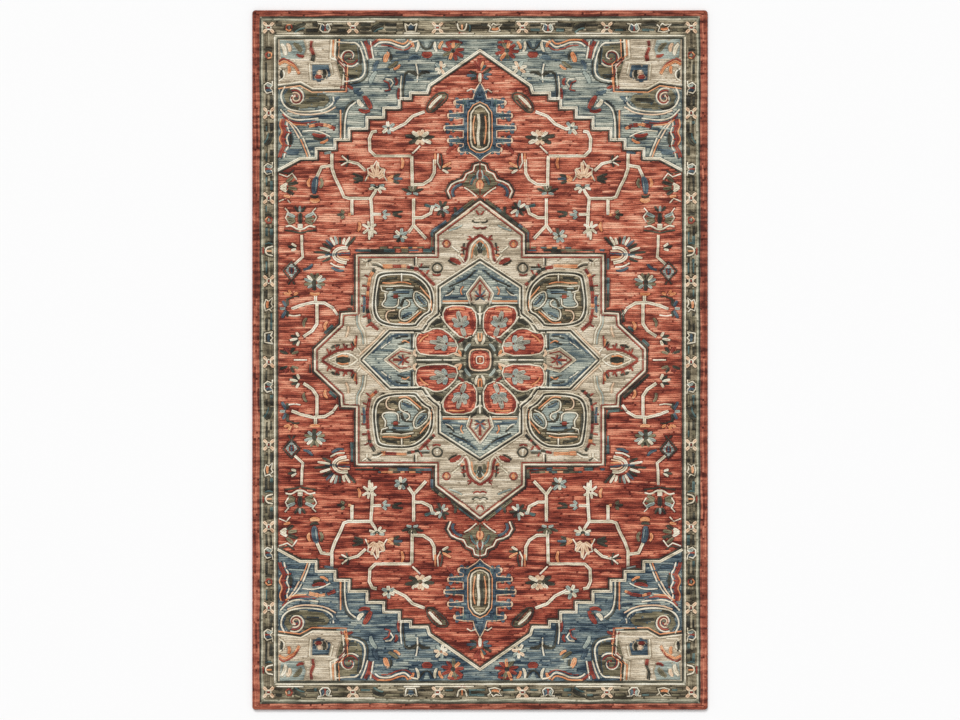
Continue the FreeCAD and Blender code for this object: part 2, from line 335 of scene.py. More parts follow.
def wool(name, shades, foot_shades=None, loop=LOOP_WIDTH * MM):
    """Hooked wool. Shades run from the darkest strip to the palest; "dye" says which one a strip is.
    Foot shades take over little by little below the middle of the rug."""
    recipe = Recipe(name, Roughness=0.95, Sheen_Weight=0.2, Sheen_Roughness=0.5, Specular_IOR_Level=0.2)
    place = recipe.place()
    strip = recipe.node("ShaderNodeAttribute", {"attribute_name": "dye"}, output="Fac")
    streaks = recipe.noise(place, 1.0, 4.0, STREAK_SCALE)
    fibres = recipe.noise(place, FIBRE_SCALE)
    tone = strip * STRIP_SHARE + (streaks - 0.5) * STREAK_SHARE + (fibres - 0.5) * FIBRE_SHARE + SHADE_LIFT
    colour = recipe.ramp(tone, shades)
    if foot_shades:
        drift = recipe.noise(place, 1.0, 2.0, (1.5, 22, 1)) - 0.5
        share = (recipe.axis(place, "Y") * -1.6 + drift * 1.4 + 0.5).within(0.0, 1.0)
        colour = recipe.mix(colour, recipe.ramp(tone, foot_shades), share)
    values = {"Vector": place, "Scale": 1 / loop}
    crown = 1.0 - recipe.node("ShaderNodeTexVoronoi", values=values, output="Distance")
    # Painted shade: the base colour is mixed towards black between the loop crowns, where shade falls between
    # the loops.
    shadow = (crown * 0.5 + 0.66).within(0.0, 1.0)
    recipe.feed(recipe.shader, "Base Color", recipe.mix((0, 0, 0, 1), colour, shadow))
    recipe.bump(crown * 0.75 + fibres * 0.35, 0.8, 1.2 * MM)
    return recipe.material


def set_smooth(mesh):
    mesh.polygons.foreach_set("use_smooth", [len(face.vertices) == 4 for face in mesh.polygons])


def whip_path():
    """Points round the rug, half a stitch apart, down the middle of the overcast edge."""
    half_x = cad_high.x / MM - WHIP_RADIUS
    half_y = cad_high.y / MM - WHIP_RADIUS
    points = []
    for turn, (sign_x, sign_y) in enumerate([(1, 1), (-1, 1), (-1, -1), (1, -1)]):
        centre = Vector((sign_x * (half_x - CORNER_RADIUS), sign_y * (half_y - CORNER_RADIUS)))
        for step in range(CORNER_STEPS + 1):
            angle = math.radians(90 * (turn + step / CORNER_STEPS))
            points.append(centre + CORNER_RADIUS * Vector((math.cos(angle), math.sin(angle))))
    path = []
    for start, end in zip(points, points[1:] + points[:1]):
        steps = max(1, round((end - start).length / (STITCH / 2)))
        path += [start.lerp(end, i / steps) for i in range(steps)]
    return path


curve = bpy.data.curves.new("whipped_edge_yarn", "CURVE")
curve.dimensions = "3D"
curve.bevel_depth = WHIP_RADIUS * MM
curve.bevel_resolution = 2
curve.twist_mode = "Z_UP"
stitches = whip_path()
spline = curve.splines.new("POLY")
spline.points.add(len(stitches) - 1)
for i, (point, stitch) in enumerate(zip(spline.points, stitches)):
    point.co = (stitch.x * MM, stitch.y * MM, WHIP_RADIUS * MM, 1)
    point.radius = 1.0 if i % 2 else PINCHED
spline.use_cyclic_u = True
mesh = bpy.data.meshes.new_from_object(bpy.data.objects.new("whipped_edge_yarn", curve))
set_smooth(mesh)
WHIP_SHADE = 0.45
shades = mesh.attributes.new("dye", "FLOAT", "POINT")
shades.data.foreach_set("value", [WHIP_SHADE] * len(mesh.vertices))
whip_wool = wool("whip_wool", [dye(92, 40, 30), dye(152, 78, 58), dye(190, 112, 86)], loop=WHIP_LOOP * MM)
add_piece("whipped_edge_yarn", mesh, whip_wool, "whip_yarn",
          "whipped_edge_head", "whipped_edge_foot", "whipped_edge_left", "whipped_edge_right")


# ------------------------------------------------------------------ hooking
# The pile is wool strip pulled up through the foundation cloth in rows of loops.
# Lines and motifs are hooked first, then each ground is filled in round them,
# one row beside the next. A strip is up to about 20 cm long, in one of fifteen
# shades of its wool.
ROW_PITCH = 7.0
YARN_RADIUS = 5.0
FINE_PITCH = 5.4
FINE_RADIUS = 3.6
PILE_TOP = RUG_TOP / MM
STITCH_STEP = 15.0
SHORT_STRIP = 28.0
LONG_STRIP = 190.0
SCRAP = 20.0            # an end shorter than this stays on the strip before it
WOBBLE = 0.3            # how far a loop strays sideways
SINK = 0.7              # how far a loop may sit below the top
DYE_STEPS = 16
TUCK = 0.7              # how far a strip's ends stay back, in yarn radii
SWELL = (0.84, 1.08)    # how thin and how thick a strip gets
FINE_SWELL = (0.86, 1.08)
FINE_SINK = 0.5
FINE_LAP = 0.54         # how far a motif's rows reach over each other
FINE_GAP = 0.4          # between a motif and the ground round it
FINE_SHADES = (0.55, 0.14)
SWAY = ((1.5, 0.013, 0.011), (1.1, 0.041, -0.03))   # of a row: how far, and how soon it comes back
BED_DROP = 3.0          # how deep the wool bed lies below the loops' tops
SEAM = 0.5              # two grounds closer than this are hooked as one
chance = random.Random(11)
hooked = []      # outlines that are already filled with loops
skeins = {}      # strips of motif yarn, by yarn and end of the rug


def strip_shade(middle=0.5, spread=0.27):
    """Which of the dyed shades the next strip has."""
    return min(DYE_STEPS - 1, max(1, round(DYE_STEPS * chance.gauss(middle, spread))))


def box_of(outline):
    xs = [x for x, y in outline]
    ys = [y for x, y in outline]
    return min(xs), min(ys), max(xs), max(ys)


def cover(outline):
    hooked.append((box_of(outline), outline))


def inside_spans(outlines, level):
    """Where the line at this level lies inside the outlines, by the even-odd rule."""
    crossings = []
    for outline in outlines:
        for (x0, y0), (x1, y1) in zip(outline, outline[1:] + outline[:1]):
            if (y0 <= level) != (y1 <= level):
                crossings.append(x0 + (level - y0) * (x1 - x0) / (y1 - y0))
    crossings.sort()
    spans = []
    for start, end in zip(crossings[::2], crossings[1::2]):
        if spans and start - spans[-1][1] < SEAM:
            start = spans.pop()[0]
        spans.append((start, end))
    return spans


def without(spans, holes):
    """What is left of the spans between the holes."""
    for low, high in holes:
        kept = []
        for start, end in spans:
            if high <= start or low >= end:
                kept.append((start, end))
                continue
            if start < low:
                kept.append((start, low))
            if high < end:
                kept.append((high, end))
        spans = kept
    return spans


def turned(outline):
    """The same outline with along and across exchanged."""
    return [(y, x) for x, y in outline]


def row_strips(start, end, level, radius, along):
    """One row of loops between two ends, cut into strips."""
    strips = []
    while end - start > radius:
        length = chance.uniform(SHORT_STRIP, LONG_STRIP)
        stop = end if end - start < length + SCRAP else start + length
        low, high = start + TUCK * radius, stop - TUCK * radius
        count = max(2, round((high - low) / STITCH_STEP) + 1)
        points = []
        for i in range(count):
            u = low + (high - low) * i / (count - 1)
            sway = sum(far * math.sin(u * rate + level * drift) for far, rate, drift in SWAY)
            v = level + sway + chance.uniform(-WOBBLE, WOBBLE)
            z = PILE_TOP - radius - chance.uniform(0, SINK)
            points.append((u, v, z) if along == "x" else (v, u, z))
        swell = [radius * chance.uniform(*SWELL) for _ in points]
        strips.append((points, swell, strip_shade()))
        start = stop
    return strips


def fill(outlines, along="x", pitch=ROW_PITCH, radius=YARN_RADIUS):
    """Rows of loops that fill an outline, round whatever is hooked already."""
    if along == "y":
        outlines = [turned(outline) for outline in outlines]
    boxes = [box_of(outline) for outline in outlines]
    left, low = min(b[0] for b in boxes), min(b[1] for b in boxes)
    right, high = max(b[2] for b in boxes), max(b[3] for b in boxes)
    near = []
    for (x0, y0, x1, y1), outline in hooked:
        if along == "y":
            x0, y0, x1, y1, outline = y0, x0, y1, x1, turned(outline)
        if x0 < right and x1 > left and y0 < high and y1 > low:
            near.append((y0, y1, outline))
    rows = max(1, round((high - low) / pitch))
    strips = []
    for row in range(rows):
        level = low + (high - low) * (row + 0.5) / rows
        holes = []
        for y0, y1, outline in near:
            if y0 < level < y1:
                holes += inside_spans([outline], level)
        for start, end in without(inside_spans(outlines, level), holes):
            strips += row_strips(start, end, level, radius, along)
    return strips


def beside(points, shift, closed):
    """The line that runs beside these points, shifted to their left."""
    count = len(points)
    shifted = []
    for i, (x, y) in enumerate(points):
        before = points[i - 1] if closed or i else None
        after = points[(i + 1) % count] if closed or i < count - 1 else None
        sides = []
        if before:
            sides.append(Vector((x - before[0], y - before[1])).normalized())
        if after:
            sides.append(Vector((after[0] - x, after[1] - y)).normalized())
        normal = sum((Vector((-side.y, side.x)) for side in sides), Vector((0, 0)))
        normal /= max(0.3, normal.length_squared / len(sides))
        reach = shift[i] if isinstance(shift, list) else shift
        shifted.append((x + normal.x * reach, y + normal.y * reach))
    return shifted


def softened(points, closed=False, passes=2):
    """Rounds the corners of a line by cutting them."""
    for _ in range(passes):
        pairs = list(zip(points, points[1:] + (points[:1] if closed else [])))
        cut = [] if closed else [points[0]]
        for (x0, y0), (x1, y1) in pairs:
            cut.append((x0 * 0.75 + x1 * 0.25, y0 * 0.75 + y1 * 0.25))
            cut.append((x0 * 0.25 + x1 * 0.75, y0 * 0.25 + y1 * 0.75))
        points = cut if closed else cut + [points[-1]]
    return points


def tufted(name, strips, material, slot, *nodes):
    """One piece of pile: strips of looped yarn, on a bed the shape of each CAD node."""
    curve = bpy.data.curves.new(name, "CURVE")
    curve.dimensions = "3D"
    curve.bevel_depth = MM
    curve.bevel_resolution = 1
    curve.use_fill_caps = True
    curve.twist_mode = "Z_UP"
    for _ in range(DYE_STEPS):
        curve.materials.append(None)
    for points, swell, shade in strips:
        spline = curve.splines.new("POLY")
        spline.points.add(len(points) - 1)
        spline.points.foreach_set("co", [c for x, y, z in points for c in (x * MM, y * MM, z * MM, 1)])
        spline.points.foreach_set("radius", swell)
        spline.material_index = shade
    mesh = bpy.data.meshes.new_from_object(bpy.data.objects.new(name, curve))
    shades = [face.material_index / DYE_STEPS for face in mesh.polygons]
    mesh.attributes.new("dye", "FLOAT", "FACE").data.foreach_set("value", shades)
    mesh.polygons.foreach_set("material_index", [0] * len(mesh.polygons))
    set_smooth(mesh)
    pile = bmesh.new()
    pile.from_mesh(mesh)
    bmesh.ops.remove_doubles(pile, verts=pile.verts, dist=0.01 * MM)
    # The bed's faces carry no dye, so their tone starts from the darkest end of the wool's shades: painted
    # shade in the gaps between the strips.
    for node in nodes:
        bed = cad_solid(node)
        top = [v for v in bed.verts if v.co.z > RUG_TOP - MM]
        bmesh.ops.translate(bed, verts=top, vec=(0, 0, -BED_DROP * MM))
        bed_mesh = bpy.data.meshes.new(f"{name}_bed")
        bed.to_mesh(bed_mesh)
        bed.free()
        pile.from_mesh(bed_mesh)
    pile.to_mesh(mesh)
    pile.free()
    return add_piece(name, mesh, material, slot, *nodes)


def outlines_of(node):
    """The outlines of a CAD node's upper face, in millimetres: its rim, then any holes."""
    solid = cad_solid(node)
    bmesh.ops.dissolve_limit(solid, angle_limit=0.01, verts=solid.verts, edges=solid.edges)
    solid.normal_update()
    rims = {}
    for edge in solid.edges:
        facing = [face.normal.z > 0.5 for face in edge.link_faces]
        if sum(facing) == 1 and min(v.co.z for v in edge.verts) > RUG_TOP - MM:
            for vert in edge.verts:
                rims.setdefault(vert.index, []).append(edge.other_vert(vert).index)
    places = [(v.co.x / MM, v.co.y / MM) for v in solid.verts]
    solid.free()
    loops = []
    while rims:
        here = next(iter(rims))
        loop = []
        while here in rims:
            neighbours = rims.pop(here)
            loop.append(places[here])
            ahead = [n for n in neighbours if n in rims]
            here = ahead[0] if ahead else None
        loops.append(loop)
    return loops


class Hook:
    """Hooks motifs into one quarter of the rug, drawn as they are in the head-right one."""

    def __init__(self, sign_x, sign_y, x=0, y=0, turn=0):
        self.sign_x = sign_x
        self.sign_y = sign_y
        self.x = x
        self.y = y
        self.turn = math.radians(turn)
        self.end = "head" if sign_y * y >= 0 and sign_y > 0 else "foot"

    def at(self, x, y, turn=0):
        """The same quarter, with the origin moved to a motif's middle."""
        return Hook(self.sign_x, self.sign_y, x, y, turn)

    def place(self, points):
        cos, sin = math.cos(self.turn), math.sin(self.turn)
        moved = [(self.x + x * cos - y * sin, self.y + x * sin + y * cos) for x, y in points]
        return [(self.sign_x * x, self.sign_y * y) for x, y in moved]

    def skein(self, yarn):
        return skeins.setdefault((yarn, self.end), [])

    def line(self, yarn, width, points, closed=False, soft=True, taper=False):
        """Rows of loops side by side along a line."""
        if soft:
            points = softened(points, closed)
        points = self.place(points)
        count = len(points)
        halves = [width / 2] * count
        if taper:
            halves = [half * math.sin(math.pi * (i + 0.35) / (count - 0.3)) ** 0.8
                      for i, half in enumerate(halves)]
        rows = max(1, round(width / FINE_PITCH))
        radius = min(FINE_RADIUS, width / rows * FINE_LAP)
        for row in range(rows):
            share = (2 * row + 1) / rows - 1
            path = beside(points, [share * half for half in halves], closed)
            strip = []
            ends = path + path[:1] if closed else path
            for (x0, y0), (x1, y1) in zip(ends, ends[1:]):
                steps = max(1, round(math.hypot(x1 - x0, y1 - y0) / STITCH_STEP))
                strip += [(x0 + (x1 - x0) * i / steps, y0 + (y1 - y0) * i / steps) for i in range(steps)]
            strip.append(ends[-1])
            loops = [(x + chance.uniform(-WOBBLE, WOBBLE), y + chance.uniform(-WOBBLE, WOBBLE),
                      PILE_TOP - radius - chance.uniform(0, FINE_SINK)) for x, y in strip]
            swell = [radius * chance.uniform(*FINE_SWELL) for _ in loops]
            self.skein(yarn).append((loops, swell, strip_shade(*FINE_SHADES)))
        edge = [half + FINE_GAP for half in halves]
        left = beside(points, edge, closed)
        right = beside(points, [-half for half in edge], closed)
        if closed:
            for i in range(count):
                j = (i + 1) % count
                cover([left[i], left[j], right[j], right[i]])
        else:
            cover(left + right[::-1])

    def leaf(self, yarn, width, points):
        self.line(yarn, width, points, taper=True)

    def patch(self, yarn, outline, soft=False):
        """A filled shape."""
        if soft:
            outline = softened(outline, True)
        outline = self.place(outline)
        self.skein(yarn).extend(fill([outline], "x", FINE_PITCH, FINE_RADIUS))
        cover(outline)

    def dot(self, yarn, x, y, across, along=None):
        along = along or across
        points = []
        for i in range(10):
            angle = math.tau * i / 10
            points.append((x + across * math.cos(angle), y + along * math.sin(angle)))
        self.patch(yarn, points)

    def broken(self, yarns, width, points, least=14, most=46):
        """A line pieced together from short ends of different yarns, some ends left out."""
        for (x0, y0), (x1, y1) in zip(points, points[1:]):
            length = math.hypot(x1 - x0, y1 - y0)
            start = 0
            while start < length:
                stop = min(length, start + chance.uniform(least, most))
                yarn = chance.choice(yarns)
                if yarn and stop - start > 8:
                    ends = [(x0 + (x1 - x0) * s / length, y0 + (y1 - y0) * s / length) for s in (start, stop)]
                    self.line(yarn, width * chance.uniform(0.7, 1.15), ends, soft=False)
                start = stop

    def blossom(self, x, y, reach, yarns, heart="dark_red", petals=8, width=11):
        """Narrow petals round a heart, in turn from each yarn and of uneven length."""
        self.dot(heart, x, y, reach * 0.2)
        turn = chance.uniform(0, math.tau)
        for i in range(petals):
            angle = turn + math.tau * i / petals
            near, far = reach * 0.22, reach * chance.uniform(0.78, 1.08)
            self.leaf(yarns[i % len(yarns)], width, [(x + near * math.cos(angle), y + near * math.sin(angle)),
                                                     (x + far * math.cos(angle), y + far * math.sin(angle))])

    def spikes(self, x, y, *spikes, width=11, near=8):
        """Petals from one root, each (degrees, length, yarn)."""
        for degrees, length, yarn in spikes:
            cos, sin = math.cos(math.radians(degrees)), math.sin(math.radians(degrees))
            self.leaf(yarn, width, [(x + near * cos, y + near * sin), (x + length * cos, y + length * sin)])


QUARTERS = [Hook(1, 1), Hook(-1, 1), Hook(1, -1), Hook(-1, -1)]
HALVES = [Hook(1, 1), Hook(1, -1)]      # for motifs on the long middle line
SIDES = [Hook(1, 1), Hook(-1, 1)]       # for motifs on the short middle line


# ------------------------------------------------------------------ border flowers
# Stars and small tulips, hooked one after another along the dark border. No two
# neighbours are alike, and the stars come round at even gaps.
def border_star(hook):
    hook.line("dark_red", 6, [(-4, 0), (4, 0)], soft=False)
    hook.line("ivory", 6, [(-8, 6), (8, 6)], soft=False)
    hook.line("ivory", 6, [(-8, -6), (8, -6)], soft=False)
    hook.spikes(0, 0, (45, 24, "peach"), (135, 24, "peach"), (225, 24, "peach"), (315, 24, "peach"),
                width=12, near=10)
    hook.line("ivory", 6, [(-10, 0), (-6, 0)], soft=False)
    hook.line("ivory", 6, [(6, 0), (10, 0)], soft=False)


def border_tulip(hook):
    hook.leaf("navy", 9, [(-10, -8), (-4, 0), (-12, 10)])
    hook.leaf("grey_blue", 9, [(12, -6), (4, 2), (12, 10)])
    hook.leaf("dark_red", 8, [(0, -12), (1, 0), (0, 8)])
    hook.line("ivory", 5, [
        (-24, 14), (-12, 12), (-18, -6), (-8, -15), (10, -15), (18, -4), (12, 12),
        (24, 12)], soft=False)
    hook.line("ivory", 5, [(-10, 13), (0, 5), (10, 13)], soft=False)


def border_leaf(hook):
    hook.leaf("charcoal", 12, [(-20, -12), (-6, 6), (20, 12)])
    hook.leaf("teal", 8, [(-14, -16), (2, -4), (18, -2)])
    hook.leaf("olive", 8, [(-16, 8), (-6, 14), (4, 16)])


def border_cup(hook):
    hook.line("orange", 6, [(0, -8), (0, 10)], soft=False)
    hook.line("ivory", 5.4, [(-16, 14), (-11, -10), (11, -10), (16, 14)])
    hook.leaf("dark_red", 8, [(-12, -18), (0, -19), (12, -18)])
    hook.leaf("teal", 8, [(24, -12), (28, 0), (24, 12)])


def border_crown(hook):
    hook.patch("navy", [(-10, -8), (10, -8), (13, 6), (-13, 6)])
    hook.line("ivory", 5, [(-20, 14), (-15, -13), (15, -13), (20, 14)], soft=False)
    hook.line("ivory", 5, [(-18, 12), (-8, 6), (0, 14), (8, 6), (18, 12)], soft=False)


def border_bird(hook):
    hook.leaf("orange", 9, [(-10, -4), (2, -6), (14, -2)])
    hook.line("ivory", 5, [(-24, 10), (-14, 2), (-20, -12), (0, -15), (18, -10), (12, 0), (24, 12), (4, 8),
                           (-6, 14), (-12, 6)], soft=False)


def border_ring(hook):
    hook.dot("grey_blue", 0, 0, 5)
    hook.broken(
        ["dark_red", "orange", "dark_red"], 6,
        [(10, -3), (6, 10), (-8, 9), (-11, -4), (0, -12), (10, -3)], 9)
    hook.leaf("charcoal", 8, [(16, 10), (22, 0), (18, -12)])


# Where each flower stands along its border, from the rug's middle lines.
BORDER_Y = 1111
BORDER_X = 706
END_FLOWERS = [
    (-638, border_ring), (-605, border_leaf), (-518, border_tulip), (-341, border_leaf),
    (-231, border_crown), (-60, border_cup), (50, border_bird), (227, border_tulip),
    (331, border_leaf), (515, border_tulip), (615, border_bird)]
SIDE_FLOWERS = [
    (1019, border_ring), (909, border_tulip), (739, border_leaf), (638, border_tulip),
    (468, border_ring), (364, border_cup), (184, border_bird), (74, border_crown),
    (-90, border_tulip), (-177, border_leaf), (-368, border_bird), (-465, border_cup),
    (-645, border_tulip), (-742, border_ring), (-919, border_tulip), (-1036, border_cup)]
END_STARS = [-707, -425, -142, 142, 424, 707]
SIDE_STARS = [-829, -558, -284, -7, 264, 541, 825]
FLOWER_REACH = 27
DASHES = ["teal", "charcoal", "olive", "charcoal", None]


def border_row(hook, x, y, turn, stars, flowers):
    """Stars and flowers along one border, with broken dashes of teal and olive in the gaps."""
    for along in stars:
        border_star(hook.at(x + (0 if turn else along), y + (along if turn else 0), turn))
    for along, flower in flowers:
        flower(hook.at(x + (0 if turn else along), y + (along if turn else 0), turn))
    taken = sorted(stars + [along for along, flower in flowers])
    for before, after in zip(taken, taken[1:]):
        start, end = before + FLOWER_REACH, after - FLOWER_REACH
        if end > start:
            for level in (9, -8):
                row = hook.at(x, y, turn)
                row.broken(DASHES, 9, [(start, level), (end, level)], 14, 40)


for hook in HALVES:
    border_row(hook, 0, BORDER_Y, 0, END_STARS, END_FLOWERS)
for hook in SIDES:
    border_row(hook, BORDER_X, 0, 90, SIDE_STARS, SIDE_FLOWERS)

# Guard lines: a dark one in the outer guard, an ivory and a dark one in the
# inner, and short ivory ones in the border itself.
for hook in HALVES:
    for low, high, y in [(-680, -590, 1092), (-255, -200, 1092), (-150, -20, 1092), (320, 470, 1092),
                         (-545, -350, 1131), (120, 260, 1131)]:
        hook.line("ivory", 5, [(low, y), (high, y)], soft=False)
    hook.line("charcoal", 5, [(-728, 1146), (728, 1146)], soft=False)
    hook.line("ivory", 5, [(-684, 1084), (684, 1084)], soft=False)
    hook.line("charcoal", 5, [(-678, 1076), (678, 1076)], soft=False)
for hook in SIDES:
    hook.line("charcoal", 5, [(734, -1142), (734, 1142)], soft=False)
    hook.line("ivory", 5, [(686, -1080), (686, 1080)], soft=False)
    hook.line("charcoal", 5, [(678, -1074), (678, 1074)], soft=False)


# ------------------------------------------------------------------ corner medallions
# A quarter medallion on pale wool in each corner, with two buds, a square flower
# and squiggles, and a stepped outline against the blue.
for hook in QUARTERS:
    hook.leaf("ivory", 13, [(664, 1056), (652, 1040), (650, 1018)])
    hook.leaf("peach", 12, [(644, 1058), (636, 1046), (636, 1030)])
    hook.leaf("olive", 14, [(622, 1060), (606, 1046), (598, 1030)])
    hook.leaf("dark_red", 10, [(612, 1022), (600, 1014), (590, 1016)])
    hook.patch("grey_blue", [(672, 1070), (588, 1070), (580, 1040), (590, 1008), (640, 1005), (668, 1010)])
    hook.broken(["dark_red", "dark_red", "charcoal"], 12, [
        (563, 1068), (566, 1045), (556, 1020), (560, 1000)])
    hook.line("dark_red", 6, [(672, 998), (655, 1010), (636, 998), (622, 990), (606, 966)])
    hook.line("orange", 9, [(672, 988), (652, 1000), (634, 988), (618, 982), (604, 956)])
    hook.leaf("orange", 11, [(640, 982), (636, 970), (640, 958)])
    hook.leaf("charcoal", 10, [(662, 972), (665, 955), (660, 940)])
    hook.line("ivory", 6, [(672, 932), (654, 944), (654, 964), (672, 976)])
    hook.dot("peach", 536, 962, 9)
    hook.dot("dark_red", 540, 948, 14, 8)
    hook.dot("charcoal", 522, 958, 12, 16)
    hook.line("ivory", 5, [(566, 932), (570, 990), (500, 992), (492, 955)], soft=False)
    hook.patch("navy", [(564, 986), (504, 988), (496, 950), (535, 930), (562, 935)])
    hook.line("ivory", 7, [(496, 1070), (500, 1010), (478, 1000)], soft=False)
    hook.line("orange", 5, [(490, 1070), (492, 1020), (474, 1006)], soft=False)
    hook.broken(["dark_red", "dark_red", "orange"], 12, [(480, 1010), (452, 980), (444, 944), (450, 904)])
    hook.spikes(448, 920, (210, 26, "dark_red"), (270, 24, "dark_red"), (330, 22, "dark_red"), width=10)


# ------------------------------------------------------------------ scroll leaves
# Two big curled leaves beside each corner medallion, hooked in olive with rust
# and ivory spirals, a wavy band along the end and a flame up the side.
SPIRAL_POINTS = 22
SPIRAL_TIGHTENS = 0.78


def spiral(hook, yarn, width, radius, start, turns=1.3):
    points = []
    for i in range(SPIRAL_POINTS):
        share = i / (SPIRAL_POINTS - 1)
        angle = math.radians(start + 360 * turns * share)
        reach = radius * (1 - SPIRAL_TIGHTENS * share)
        points.append((reach * math.cos(angle), reach * math.sin(angle)))
    hook.line(yarn, width, points, soft=False)


for hook in QUARTERS:
    curl = hook.at(437, 1014)
    spiral(curl, "dark_red", 6, 29, 200)
    spiral(curl, "ivory", 6, 37, 215, 1.1)
    hook.leaf("charcoal", 12, [(406, 1050), (398, 1020), (400, 990)])
    hook.leaf("charcoal", 12, [(460, 962), (436, 946), (410, 950)])
    hook.leaf("charcoal", 10, [(474, 1050), (478, 1020), (474, 990)])
    hook.patch("olive", [
        (480, 1058), (408, 1054), (394, 1030), (392, 965), (404, 944), (440, 934), (466, 940),
        (480, 990)])
    hook.line("ivory", 8, [
        (484, 1064), (440, 1060), (408, 1061), (388, 1010), (382, 960), (402, 937), (454, 930)])
    hook.line("charcoal", 5, [(379, 1010), (373, 956), (396, 929), (448, 921)])
    hook.line("dark_red", 12, [(384, 1066), (372, 1040), (366, 1008)])
    hook.line("dark_red", 9, [(376, 1040), (354, 1062), (340, 1070)])
    hook.line("ivory", 6, [(398, 1066), (384, 1036), (376, 1004)])
    hook.line("ivory", 6, [(366, 1066), (362, 1040), (356, 1006)])
    hook.line("ivory", 8, [
        (352, 1048), (336, 1062), (300, 1062), (275, 1050), (250, 1044), (234, 1062), (206, 1067)])
    hook.line("orange", 7, [(344, 1070), (300, 1071), (278, 1061), (252, 1055), (240, 1070)])
    hook.line("dark_red", 5, [(330, 1052), (300, 1051), (280, 1040), (248, 1034), (226, 1052)])

    curl = hook.at(617, 876)
    spiral(curl, "dark_red", 6, 27, 60)
    spiral(curl, "ivory", 6, 35, 60, 1.1)
    spiral(curl, "peach", 5, 19, 60, 1.1)
    hook.leaf("charcoal", 14, [(580, 866), (550, 868), (520, 872)])
    hook.leaf("charcoal", 11, [(650, 858), (634, 842), (606, 840)])
    hook.patch("olive", [(640, 908), (658, 882), (644, 848), (600, 838), (520, 846), (500, 868), (508, 884),
                         (560, 892), (585, 906)])
    hook.line("ivory", 8, [
        (652, 914), (669, 882), (652, 842), (600, 828), (520, 834), (488, 858), (490, 880)])
    hook.line("peach", 6, [(644, 834), (600, 818), (520, 823), (482, 846)])
    hook.line("ivory", 7, [(668, 838), (640, 808), (600, 800), (540, 808)])
    hook.line("dark_red", 7, [(660, 822), (640, 798), (600, 790), (548, 797)])
    hook.line("orange", 6, [(650, 804), (630, 788), (580, 784)])
    hook.line("peach", 6, [(640, 796), (620, 770), (604, 740)])
    flame = [(656, 806), (662, 784), (650, 762), (664, 740), (652, 718), (666, 696), (670, 676)]
    hook.line("dark_red", 13, flame)
    for x, y in flame[1:6]:
        hook.spikes(x, y, (190, 20, "dark_red"), width=8, near=2)
    hook.line("ivory", 6, [(x - 15, y) for x, y in flame])
    hook.line("orange", 5, [(x + 9, y) for x, y in flame[:5]])


